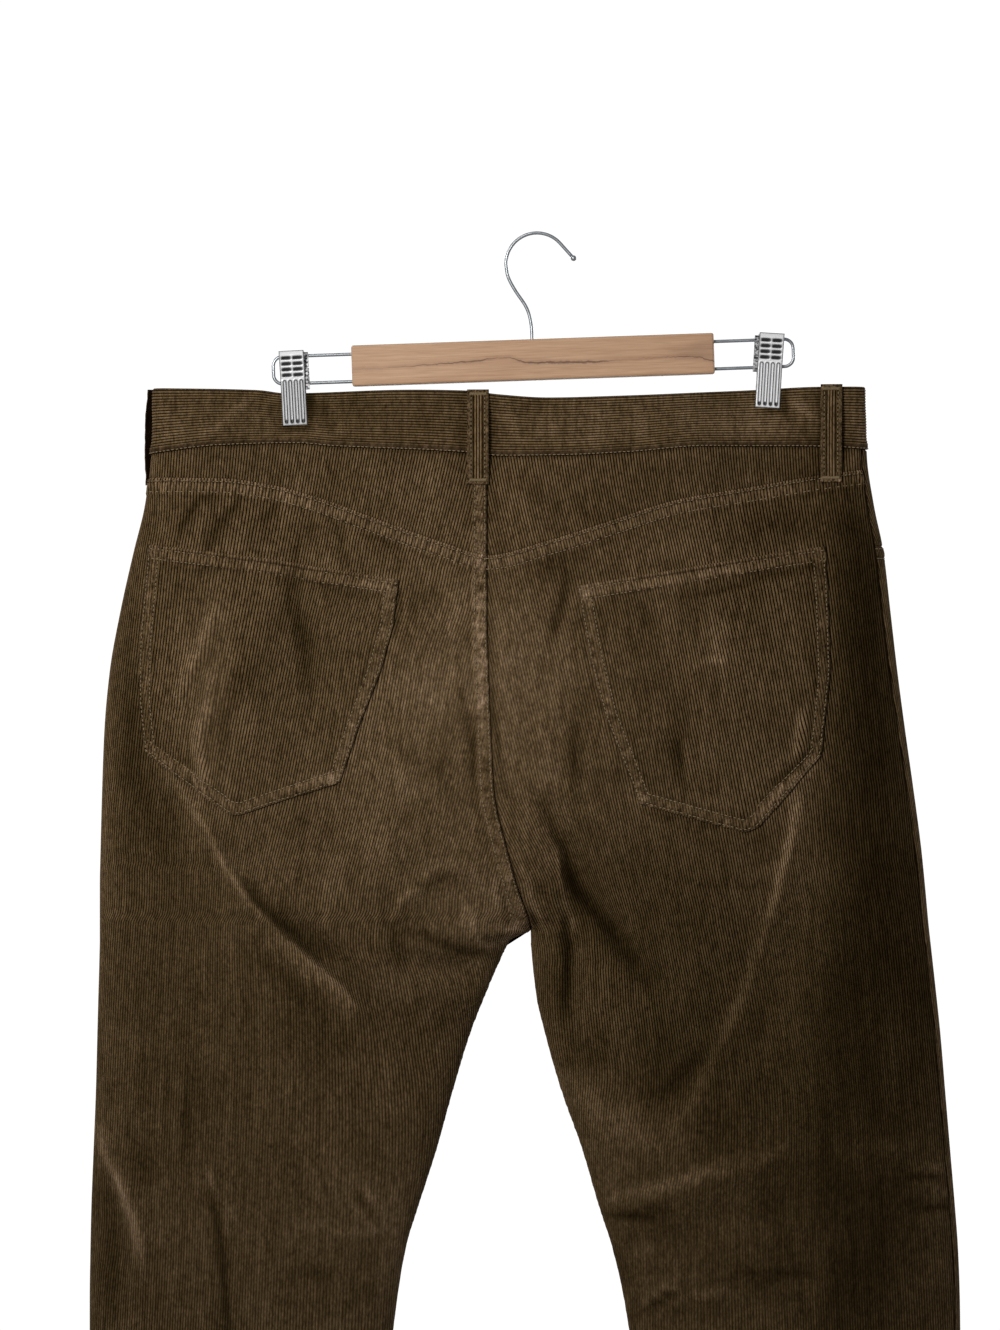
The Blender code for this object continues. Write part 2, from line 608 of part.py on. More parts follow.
def belt_loop(name, half, face, distance, top, bottom):
    """A flat strip that stands off the cloth between its two sewn ends."""
    fold, inner = float(body(half + "_fold", top)), float(inner_edge(half, face, top))
    middle_drop = (top + bottom) / 2
    near, centre, far = [cloth_point(half, face, (distance + step) / abs(inner - fold), middle_drop)
                         for step in (-2.0, 0.0, 2.0)]
    across = far - near
    across[2] = 0
    across /= np.linalg.norm(across)
    out = np.array([across[1], -across[0], 0.0])
    if out[1] * (-1 if face == "back" else 1) < 0:
        out = -out
    shares = [row[0] for row in LOOP_STANDOFF]
    grids = []
    for extra in (LOOP_CLOTH, 0.0):
        grid = np.empty((len(shares), 2, 3))
        for i, (share, standoff) in enumerate(LOOP_STANDOFF):
            drop = top + (bottom - top) * share
            seat = cloth_point(half, face, distance / abs(inner - fold), drop)
            lean = (seat - centre) * np.array([1.0, 1.0, 0.0])
            point = centre + out * lean.dot(out)
            point[2] = -drop
            for j, side in enumerate((-0.5, 0.5)):
                grid[i, j] = point + across * LOOP_WIDTH * side + out * (standoff + extra)
        grids.append(grid)
    sheet_solid(name, grids[0], grids[1], "cloth")


def waist_button():
    """A turned button with a raised rim and a dished middle, on the over end of the waistband."""
    fold = body("left_fold", BUTTON["drop"])
    inner = inner_edge("left", "front", BUTTON["drop"])
    u = (BUTTON["x"] - fold) / (inner - fold)
    seat = cloth_point("left", "front", u, BUTTON["drop"])
    r, t, rim, dish = BUTTON["radius"], BUTTON["thickness"], BUTTON["rim"], BUTTON["dish"]
    base = 2 * SEAM_GAP
    profile = ((0, base), (r - rim, base), (r, base + rim), (r, base + t - rim), (r - rim, base + t),
               (dish + rim, base + t), (dish, base + t - rim), (0, base + t - rim))
    bm = bmesh.new()
    points = [bm.verts.new((radius * MM, 0, height * MM)) for radius, height in profile]
    edges = [bm.edges.new(pair) for pair in zip(points, points[1:])]
    bmesh.ops.spin(bm, geom=points + edges, cent=(0, 0, 0), axis=(0, 0, 1), angle=math.tau, steps=20,
                   use_merge=True)
    bmesh.ops.remove_doubles(bm, verts=bm.verts, dist=1e-6)
    bmesh.ops.triangulate(bm, faces=bm.faces)
    bm.transform(Matrix.Translation(Vector(seat) * MM) @ Matrix.Rotation(math.radians(-90), 4, "X"))
    finish_bmesh("waist_button", bm, "button")


# ---------------------------------------------------------------- hanger
def wire(name, points, ball=()):
    """A round wire along a path of (x, z) points in millimetres. The ball's points are (x, z, radius)."""
    curve = bpy.data.curves.new(name, "CURVE")
    curve.dimensions = "3D"
    curve.bevel_depth = WIRE_RADIUS * MM
    curve.bevel_resolution = 2
    curve.use_fill_caps = True
    curve.render_resolution_u = 0
    spline = curve.splines.new("POLY")
    route = [(x, z, WIRE_RADIUS) for x, z in points] + list(ball)
    spline.points.add(len(route) - 1)
    for point, (x, z, radius) in zip(spline.points, route):
        point.co = (x * MM, 0, z * MM, 1)
        point.radius = radius / WIRE_RADIUS
    obj = bpy.data.objects.new(name, curve)
    curve.materials.append(MATERIALS["steel"])
    bpy.context.collection.objects.link(obj)
    return obj


def hook_route():
    """The hook's middle line as (x, z) points: stem, bend and straight tail."""
    centre_z = WIRE_RADIUS - HOOK_RADIUS
    bend = []
    start, end, steps = 180.0, HOOK_TAIL_ANGLE, 16
    for i in range(steps + 1):
        angle = math.radians(start + (end - start) * i / steps)
        bend.append((HOOK_RADIUS * math.cos(angle), centre_z + HOOK_RADIUS * math.sin(angle)))
    stem = [(x, -drop) for x, drop in HOOK_STEM]
    turn = math.radians(HOOK_TAIL_ANGLE)
    tail_x, tail_z = bend[-1]
    tail = [(tail_x + HOOK_TAIL * share * math.sin(turn), tail_z - HOOK_TAIL * share * math.cos(turn))
            for share in (0.5, 1.0)]
    lead_in = path_through(stem + bend[:1], 3)
    return [tuple(p) for p in lead_in] + bend[1:] + tail


def hanger_hook():
    """The hook, with a small ball drawn up on the end of its tail."""
    route = hook_route()
    end = np.array(route[-1])
    ahead = end - np.array(route[-2])
    ahead /= np.linalg.norm(ahead)
    ball = []
    for angle in range(40, 180, 20):
        reach = HOOK_TIP_RADIUS * (1 - math.cos(math.radians(angle)))
        ball.append((*(end + ahead * reach), HOOK_TIP_RADIUS * math.sin(math.radians(angle))))
    wire("hanger_hook", route, ball)


def bar_frame():
    return (Matrix.Translation((BAR_CENTRE[0] * MM, 0, -BAR_CENTRE[1] * MM))
            @ Matrix.Rotation(math.radians(-BAR_TILT), 4, "Y"))


def loop_wire_route(side):
    """A wire loop in the bar's own frame: out along the top, round the end, back below."""
    sign = -1 if side == "left" else 1
    end = LOOP_WIRE_ENDS[sign > 0]
    root = sign * (BAR_SIZE[0] / 2 - HOLE_DEPTH + HOLE_CLEARANCE)
    half = LOOP_WIRE_SPREAD / 2
    route = [(root, LOOP_WIRE_MIDDLE + half), (sign * (BAR_SIZE[0] / 2 + 12), LOOP_WIRE_MIDDLE + half)]
    for vertical in (1, -1):
        corner = (end - sign * LOOP_WIRE_CORNER, LOOP_WIRE_MIDDLE + vertical * (half - LOOP_WIRE_CORNER))
        for i in range(6):
            angle = math.radians(18 * i)
            if vertical > 0:
                along, up = math.sin(angle), math.cos(angle)
            else:
                along, up = math.cos(angle), math.sin(angle)
            route.append((corner[0] + sign * LOOP_WIRE_CORNER * along,
                          corner[1] + vertical * LOOP_WIRE_CORNER * up))
    route += [(sign * (BAR_SIZE[0] / 2 + 12), LOOP_WIRE_MIDDLE - half), (root, LOOP_WIRE_MIDDLE - half)]
    return route


def hanger_bar():
    """The wooden bar, with a bored hole for the hook's stem and two in each end for the wires."""
    bm = bmesh.new()
    bmesh.ops.create_cube(bm, size=1)
    bmesh.ops.scale(bm, vec=Vector(BAR_SIZE) * MM, verts=bm.verts)
    bmesh.ops.bevel(bm, geom=bm.edges[:], offset=BAR_BEVEL * MM, segments=2, profile=0.5, affect="EDGES")
    obj = finish_bmesh("hanger_bar", bm, "wood")
    frame = bar_frame()
    obj.matrix_world = frame
    holes = []
    for sign in (-1, 1):
        for up in (-1, 1):
            place = Matrix.Translation((sign * BAR_SIZE[0] / 2 * MM, 0,
                                        (LOOP_WIRE_MIDDLE + up * LOOP_WIRE_SPREAD / 2) * MM))
            holes.append(frame @ place @ Matrix.Rotation(math.radians(90), 4, "Y"))
    stem_x, stem_drop = HOOK_STEM[1]
    holes.append(Matrix.Translation((stem_x * MM, 0, -stem_drop * MM)))
    for index, place in enumerate(holes):
        bore = bmesh.new()
        bmesh.ops.create_cone(bore, cap_ends=True, segments=12, radius1=(WIRE_RADIUS + HOLE_CLEARANCE) * MM,
                              radius2=(WIRE_RADIUS + HOLE_CLEARANCE) * MM, depth=2 * HOLE_DEPTH * MM)
        cutter = finish_bmesh(f"bore_{index}", bore, "wood")
        cutter.matrix_world = place
        cutter.hide_render = True
        cutter.display_type = "WIRE"
        cut = obj.modifiers.new(cutter.name, "BOOLEAN")
        cut.object = cutter
        cut.solver = "EXACT"


def plate_y(z):
    """Inner face of a clip's plate, from the middle plane."""
    rise = max(0.0, z - CLIP_BEND_Z) / (CLIP_HALF_HEIGHT - CLIP_BEND_Z)
    return CLIP_JAW_Y + (CLIP_FLARE_Y - CLIP_JAW_Y) * rise


def clip_plate(name, frame, face):
    """One pressed steel plate: four long grooves down the jaw, two columns of dimples above."""
    margin = (CLIP_WIDTH - 4 * CLIP_GROOVE - 3 * CLIP_RIB) / 2
    xs = [-CLIP_WIDTH / 2, -CLIP_WIDTH / 2 + margin]
    for _ in range(3):
        xs += [xs[-1] + CLIP_GROOVE, xs[-1] + CLIP_GROOVE + CLIP_RIB]
    xs += [xs[-1] + CLIP_GROOVE, CLIP_WIDTH / 2]
    zs = [-CLIP_HALF_HEIGHT, *CLIP_GROOVE_Z, CLIP_BEND_Z]
    for z in CLIP_DIMPLE_Z:
        zs += [z - CLIP_DIMPLE_HALF, z + CLIP_DIMPLE_HALF]
    zs.append(CLIP_HALF_HEIGHT)
    sign = -1 if face == "back" else 1
    bm = bmesh.new()
    lean = math.atan2(CLIP_FLARE_Y - CLIP_JAW_Y, CLIP_HALF_HEIGHT - CLIP_BEND_Z)
    verts = []
    for z in zs:
        y = sign * (plate_y(z) + CLIP_PLATE / math.cos(lean * (z > CLIP_BEND_Z)))
        verts.append([bm.verts.new((x * MM, y * MM, z * MM)) for x in xs])
    cells = {}
    for i in range(len(zs) - 1):
        for j in range(len(xs) - 1):
            quad = [verts[i][j], verts[i][j + 1], verts[i + 1][j + 1], verts[i + 1][j]]
            cells[i, j] = bm.faces.new(quad if sign < 0 else quad[::-1])
    grooves = [cells[1, j] for j in (1, 3, 5, 7)]
    dimples = []
    for i in (4, 6, 8, 10):
        for j in (1, 5):
            merged = bmesh.ops.dissolve_faces(bm, faces=[cells[i, j], cells[i, j + 1], cells[i, j + 2]])
            dimples += merged["region"]
    outer_rim = [e for e in bm.edges if e.is_boundary]
    rim = bmesh.ops.extrude_edge_only(bm, edges=outer_rim)["geom"]
    back_verts = [v for v in rim if isinstance(v, bmesh.types.BMVert)]
    for v in back_verts:
        v.co.y = sign * plate_y(v.co.z / MM) * MM
    back_edges = [e for e in rim if isinstance(e, bmesh.types.BMEdge)]
    bend = [v for v in back_verts if abs(v.co.z - CLIP_BEND_Z * MM) < 1e-7]
    back_edges.append(bm.edges.new(bend))
    bmesh.ops.holes_fill(bm, edges=back_edges, sides=0)
    bmesh.ops.inset_individual(bm, faces=grooves + dimples, thickness=CLIP_RECESS / 2 * MM,
                               depth=-CLIP_RECESS * MM)
    bmesh.ops.triangulate(bm, faces=bm.faces)
    bm.transform(frame)
    finish_bmesh(name, bm, "steel")


def clip_spring(name, frame, side):
    """A U of flat spring steel over the wires, its legs inside the two plates."""
    arch = SPRING_ARCH_Z[side]
    shift = SPRING_SHIFT if side == "left" else -SPRING_SHIFT
    profiles = []
    for offset in (SPRING_STEEL, 0.0):
        r = SPRING_INNER_Y + offset
        line = [(-r, SPRING_LOW_Z)]
        for degrees in range(0, 181, 30):
            angle = math.radians(degrees)
            line.append((-r * math.cos(angle), arch + r * math.sin(angle)))
        line.append((r, SPRING_LOW_Z))
        profiles.append(line)
    grids = []
    for line in profiles:
        grid = np.array([[(shift + x, y, z) for x in (-SPRING_WIDTH / 2, SPRING_WIDTH / 2)] for y, z in line])
        grids.append(grid)
    placed = [np.array([[frame @ Vector(p * MM) for p in row] for row in grid]) / MM for grid in grids]
    sheet_solid(name, placed[0], placed[1], "steel")


def clip(side):
    x, drop, lean = CLIP_PLACES[side]
    frame = Matrix.Translation((x * MM, 0, -drop * MM)) @ Matrix.Rotation(math.radians(lean), 4, "Y")
    for face in ("back", "front"):
        clip_plate(f"clip_{side}_plate_{face}", frame, face)
    clip_spring(f"clip_{side}_spring", frame, side)


def main():
    for obj in list(bpy.data.objects):
        bpy.data.objects.remove(obj, do_unlink=True)
    MATERIALS.update((name, make_material(name)) for name in COLOURS)
    outer = {}
    for half in ("left", "right"):
        for face in ("back", "front"):
            outer[face, half], top_row = leg_panel(half, face)
            if face == "back":
                upper_piece(f"yoke_{half}", half, face, top_row, np.arange(len(top_row)), YOKE_ROWS)
            else:
                start = SCOOP_COLUMNS[half]
                positions = np.append(np.arange(start), start - SCOOP_TIP)
                upper_piece(f"pocket_facing_{half}", half, face, top_row, positions, FACING_ROWS)
    fold_column = len(WRAP_COLUMNS) + 1
    patch_on("pocket_back_left", outer["back", "left"][:, fold_column:], POCKETS["pocket_back_left"])
    patch_on("pocket_back_right", outer["back", "right"], POCKETS["pocket_back_right"])
    patch_on("fly_facing", outer["front", "left"], FLY_OUTLINE)
    waistband()
    for row in LOOP_ROWS:
        belt_loop(*row)
    waist_button()
    hanger_bar()
    hanger_hook()
    for side in ("left", "right"):
        wire(f"hanger_wire_{side}", loop_wire_route(side)).matrix_world = bar_frame()
        clip(side)


MATERIALS = {}
main()
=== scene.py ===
"""The looks of the corduroy trousers and of the clip hanger that holds them.

Tables and surfaces are in millimetres, as the solids' own are: x across, and "drop" down from
the hook, so Z = -drop. Meshes are made in metres. The garment's back faces -Y.
"""
import json
import math

import bmesh
import bpy
import numpy as np
from mathutils import Matrix, Vector

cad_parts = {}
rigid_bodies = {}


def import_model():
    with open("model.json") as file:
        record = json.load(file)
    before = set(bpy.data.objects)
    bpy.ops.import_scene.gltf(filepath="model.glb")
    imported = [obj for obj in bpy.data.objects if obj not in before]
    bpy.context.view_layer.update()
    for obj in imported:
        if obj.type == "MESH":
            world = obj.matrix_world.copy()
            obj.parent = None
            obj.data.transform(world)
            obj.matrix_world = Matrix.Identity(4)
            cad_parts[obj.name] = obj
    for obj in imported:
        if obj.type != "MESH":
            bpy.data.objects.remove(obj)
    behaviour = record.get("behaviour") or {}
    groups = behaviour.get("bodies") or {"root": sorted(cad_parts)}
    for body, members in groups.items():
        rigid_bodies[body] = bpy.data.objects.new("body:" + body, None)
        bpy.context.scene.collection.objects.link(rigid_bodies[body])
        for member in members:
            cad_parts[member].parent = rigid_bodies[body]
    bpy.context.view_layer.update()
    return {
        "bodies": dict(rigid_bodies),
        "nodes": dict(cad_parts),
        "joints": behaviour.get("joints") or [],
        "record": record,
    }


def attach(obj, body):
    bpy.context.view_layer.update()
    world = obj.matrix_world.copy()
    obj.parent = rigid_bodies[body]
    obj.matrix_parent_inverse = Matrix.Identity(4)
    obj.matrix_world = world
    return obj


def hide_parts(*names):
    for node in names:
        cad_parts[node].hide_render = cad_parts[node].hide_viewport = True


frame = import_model()

MM = 0.001
TAU = math.tau

# ---------------------------------------------------------------- camera and light
PHOTO_SIZE = (1000, 1330)       # pixels
PHOTO_SCALE = 0.643             # mm for each pixel, at the garment's middle plane
HOOK_PIXEL = (537.0, 234.7)     # where the photograph shows the origin
CAMERA_DISTANCE = 3600.0        # mm
SENSOR = 36.0
VIEW_END = 50                   # m
# Lamps, in metres: name, kind, place, the point aimed at, watts, colour and the lamp's own settings. The
# key is a pool of light on the seat that fades evenly to its edge.
LAMPS = (
    ("key", "SPOT", (-0.95, -2.2, 0.25), (-0.10, 0, -0.27), 165, (1.0, 0.97, 0.93),
     {"spot_size": math.radians(32), "spot_blend": 1.0, "shadow_soft_size": 0.3}),
    ("top", "AREA", (-0.5, -1.4, 1.1), (0.0, 0, -0.3), 6, (1.0, 0.98, 0.95), {"shape": "DISK", "size": 0.7}),
    ("behind_left", "AREA", (-1.5, 1.6, 0.6), (0, 0, -0.4), 14, (1, 1, 1), {"shape": "DISK", "size": 0.9}),
    ("behind_right", "AREA", (1.6, 1.2, 0.2), (0, 0, -0.4), 10, (1, 1, 1), {"shape": "DISK", "size": 0.9}),
)
WALL_RISE = {"From Min": 0.55, "From Max": 0.93, "To Min": 0.16, "To Max": 1.05}    # its light, along Y
FLOOR_GAP = 0.03                # m, under the hems
FLOOR_SIDE = 1.6
FLOOR_BACK = 1.0


def link(obj):
    """Puts an object in the scene and hands it back."""
    bpy.context.collection.objects.link(obj)
    return obj


def make_camera():
    """A long lens, level and square to the garment's back, framed as the photograph is."""
    centre_x = (PHOTO_SIZE[0] / 2 - HOOK_PIXEL[0]) * PHOTO_SCALE
    centre_drop = (PHOTO_SIZE[1] / 2 - HOOK_PIXEL[1]) * PHOTO_SCALE
    data = bpy.data.cameras.new("camera")
    data.sensor_width = SENSOR
    data.lens = SENSOR * CAMERA_DISTANCE / (PHOTO_SIZE[1] * PHOTO_SCALE)
    data.clip_end = VIEW_END
    camera = link(bpy.data.objects.new("camera", data))
    camera.location = (centre_x * MM, -CAMERA_DISTANCE * MM, -centre_drop * MM)
    camera.rotation_euler = (math.radians(90), 0, 0)
    bpy.context.scene.camera = camera


def make_studio():
    """The lamps, a pale floor, and a white wall of light behind."""
    for name, kind, place, aim, power, colour, settings in LAMPS:
        data = bpy.data.lights.new(name, kind)
        data.energy = power
        data.color = colour
        for key, value in settings.items():
            setattr(data, key, value)
        light = link(bpy.data.objects.new(name, data))
        light.location = place
        light.rotation_euler = (Vector(aim) - Vector(place)).to_track_quat("-Z", "Y").to_euler()
    world = bpy.data.worlds.new("studio")
    bpy.context.scene.world = world
    world.use_nodes = True
    nodes, links = world.node_tree.nodes, world.node_tree.links
    nodes.clear()
    place, split, spread, light, out = [nodes.new("ShaderNode" + kind) for kind in (
        "TexCoord", "SeparateXYZ", "MapRange", "Background", "OutputWorld")]
    spread.interpolation_type = "SMOOTHSTEP"
    for key, value in WALL_RISE.items():
        spread.inputs[key].default_value = value
    light.inputs["Color"].default_value = (1, 1, 1, 1)
    links.new(place.outputs["Generated"], split.inputs[0])
    links.new(split.outputs["Y"], spread.inputs["Value"])
    links.new(spread.outputs["Result"], light.inputs["Strength"])
    links.new(light.outputs[0], out.inputs[0])
    mesh = bpy.data.meshes.new("floor")
    low = -HEM_DROP * MM - FLOOR_GAP
    corners = ((-FLOOR_SIDE, -FLOOR_SIDE), (FLOOR_SIDE, -FLOOR_SIDE), (FLOOR_SIDE, FLOOR_BACK),
               (-FLOOR_SIDE, FLOOR_BACK))
    mesh.from_pydata([(x, y, low) for x, y in corners], [], [(0, 1, 2, 3)])
    mesh.materials.append(plain_material("floor", (0.62, 0.61, 0.60), 0.6))
    floor = link(bpy.data.objects.new("floor", mesh))
    bpy.context.scene.view_settings.view_transform = "Standard"


# ---------------------------------------------------------------- the garment's own sizes
CLOTH = 1.8
BAND_CLOTH = 2.1
POCKET_LIFT = 1.9               # outer face of a patch pocket from the panel beneath it
SEAM_GAP = 0.3
CROTCH_DROP = 447.0
HEM_DROP = 1200.0
SADDLE_HEIGHT = 78.0
NOTCH_REACH = 75.0
FACE_DEPTH = {"back": 1.06, "front": 0.92}
OUTWARD = {"back": -1.0, "front": 1.0}

BODY_COLUMNS = ("drop", "left_fold", "left_inner", "left_soft", "right_inner", "right_fold",
                "half_depth", "fold_round")
BODY_ROWS = (
    (98, -247, -34, -34, -34, 211, 8, 10), (142, -248, -33, -33, -33, 212, 10, 14),
    (174, -252, -32, -32, -32, 216.5, 14.5, 26), (203, -259, -32, -32, -32, 222.5, 20, 45),
    (241, -267.5, -32, -32, -32, 227, 26, 70), (280, -274.5, -31, -31, -31, 231.5, 30.5, 92),
    (318, -278, -29.5, -29.5, -29.5, 236.5, 33.5, 110), (357, -279.5, -27.5, -27.5, -27.5, 242, 35, 125),
    (395, -280.5, -19, -25, -19, 247, 35.5, 140), (420, -281, -12, -25, -12, 249.5, 35, 150),
    (447, -281, -4, -27, -4, 252, 34.5, 160), (453, -281, -16.5, -27.6, -4, 252.7, 34.3, 160),
    (463, -281.2, -22, -29.2, -3.3, 253.8, 34, 160), (492, -282, -34.5, -36, 0, 257, 33.5, 160),
    (511, -282.5, -42, -42.5, 4.5, 259, 33, 160), (550, -283.5, -54, -54, 15.5, 262.3, 32.5, 160),
    (588, -285, -64.5, -64.5, 29, 265.5, 32, 160), (627, -286.5, -77, -77, 40.5, 268.8, 31.5, 160),
    (650, -287, -84, -84, 48, 270.5, 31.2, 160), (685, -287.5, -90, -90, 56, 271.8, 31, 160),
    (760, -287.5, -97.5, -97.5, 66, 272.5, 30, 160), (850, -288, -101, -101, 71.5, 273, 28.5, 160),
    (1200, -288, -100.5, -100.5, 76, 274, 24, 160),
)
CENTRE_FRONT = ((98, 2.0), (300, 1.0), (447, -4.0))
SIDE_SEAM_COLUMNS = ("drop", "left", "right")
SIDE_SEAM_ROWS = (
    (98, 33, 3), (142, 26.5, 3.5), (174, 22, 4.6), (203, 20, 5.5), (241, 17, 5.6), (260, 14.5, 5.5),
    (320, 9, 5), (395, 4.5, 4.5), (450, 4, 4), (1200, 4, 4),
)
BAND_TOP = {
    "back": ((-247, 99), (-181, 100), (-162, 102), (-79, 100), (-46, 100.5), (-24, 103), (7, 105),
             (58, 103.7), (120, 101), (140, 100), (182, 98), (211, 98)),
    "front": ((-247, 99), (-163, 102), (-80, 107), (0, 111), (80, 107), (140, 101), (211, 98)),
}
BAND_BOTTOM = {
    "back": ((-248, 141.5), (-202, 136), (-154, 134.5), (-130, 136.5), (-48, 140.5), (-24, 143),
             (17, 142.5), (58, 140.5), (109, 136.5), (161, 136.5), (183, 137), (212, 138.5)),
    "front": ((-248, 141.5), (-163, 141), (-80, 146), (0, 150), (80, 146), (140, 140), (212, 138.5)),
}
YOKE_SEAM = ((-248, 156.5), (-202, 157), (-171, 161), (-140, 169.5), (-99, 184.5), (-58, 199),
             (-32, 206.5), (7, 197), (48, 184), (89, 171), (140, 162), (181, 155), (212, 151))
SCOOP_DEPTH = 62.0
SCOOP_START = {"left": -0.522, "right": -0.42}     # signed q where a front opening leaves the waistband
CLIP_PLACES = {"left": (-156.6, 98.9, -3.05), "right": (149.4, 87.6, 3.4)}    # x, drop, lean
PINCHED_HALF_DEPTH = 2.5
PINCH_REACH = 38.0
PINCH_DROPS = (112.0, 235.0)
TOP_LEVEL = 180.0
TOP_LINE_REACH = 130.0
BAND_LAP = (-18.0, 20.0)
BAND_LAP_STEP = 2.7
BAND_LAP_FADE = (23.0, 48.0)

# Belt loops: name, half, face, distance from the side fold, and the drops of their two ends.
LOOP_ROWS = (
    ("belt_loop_centre_back", "left", "back", 208.5, 100.0, 161.0),
    ("belt_loop_side_left", "left", "front", 3.5, 99.5, 161.0),
    ("belt_loop_side_right", "right", "back", 22.5, 96.5, 159.5),
    ("belt_loop_front_left", "left", "front", 131.0, 103.5, 164.0),
    ("belt_loop_front_right", "right", "front", 101.0, 103.0, 163.0),
)
CREST_SHIFT = (0.6, 0.32)       # of a fold's width, in x and in drop: how far its crest lies right of and below the path of its painted light
FOLD_STEPS = 4                  # pieces of a fold's curve between two of its points
FOLD_REACH = 3                  # widths from its line, beyond which it is nothing
FOLD_ENDS = (0.12, 0.76, 0.7)   # start, length and power of the half wave that a fold's height follows
SHAPE_FADE = (0.15, 0.7)        # folds fade towards the edges of a face
PINCH_POWER = 2.6
NORMAL_STEP = 0.6
LOOP_WIDTH = 14.0
LOOP_CLOTH = 2.4
LOOP_STANDOFF = ((0.0, 0.9), (0.09, 1.1), (0.2, 2.6), (0.36, 3.4), (0.62, 3.4), (0.8, 2.6), (0.91, 1.1),
                 (1.0, 0.9))

BAND_FOOT_LINE = (-250, 142.2, -202, 136.8, -154, 135.3, -130, 137.3, -90, 139.6, -48, 141.3, -24, 143.8,
                  17, 143.3, 58, 141.3, 109, 137.3, 161, 137.3, 183, 137.8, 213, 139.4)

# Ridges (+) and troughs (-): height, width, the painted highlight (+) or painted shade (-) on the nap there,
# partly wear on the ridges, then x and drop of each point of the path that they follow. FOLDS are the solids'
# own large folds, CREASES finer ones.
FOLDS = {
    "back": (
        (-8, 11, -0.1, -188, 397, -161, 439, -136, 466, -108, 490, -80, 522),
        (3.2, 8, 0, -214, 378, -196, 410, -174, 441, -144, 470, -112, 496),
        (6, 14, 0.14, -78, 442, -50, 440, -30, 446, -14, 440),
        (-7, 9, -0.06, -92, 464, -62, 468, -38, 468, -22, 462),
        (-8, 9, -0.1, 4, 370, 16, 394, 31, 423, 51, 452, 75, 481),
        (-5, 7, -0.06, 16, 420, 19, 452, 19, 482, 17, 520),
        (3.6, 9, 0, 168, 358, 160, 396, 146, 440, 130, 486, 111, 530, 88, 572),
        (-6, 22, -0.06, 146, 420, 120, 468, 96, 516, 70, 550),
        (3.6, 7.5, 0, 42, 626, 74, 616, 102, 607, 132, 596, 158, 588),
        (-3.4, 9, 0, 48, 650, 86, 640, 122, 626, 160, 618),
        (3.6, 8, 0, -278, 580, -266, 606, -259, 636, -256, 670),
        (-2.8, 9, 0, -206, 606, -200, 640, -195, 682, -190, 722),
        (4, 18, 0.04, -178, 228, -194, 268, -210, 312, -212, 352),
        (-4, 14, -0.04, -158, 222, -152, 262, -150, 300), (4, 18, 0.05, -170, 860, -196, 930, -214, 1010),
    ),
    "front": (
        (-7, 21, -0.14, 24, 398, 60, 432, 98, 470, 132, 520),
        (5, 17, 0.1, 50, 392, 86, 424, 124, 462, 160, 512),
        (-7, 22, -0.14, -30, 400, -64, 440, -108, 476, -152, 520),
        (5, 17, 0.1, -56, 392, -92, 428, -134, 464, -176, 508),
        (-6, 15, -0.12, -120, 700, -170, 716, -226, 704), (-6, 15, -0.12, 96, 690, 150, 706, 214, 722),
        (4, 18, 0.06, 150, 880, 176, 960, 200, 1040),
    ),
}
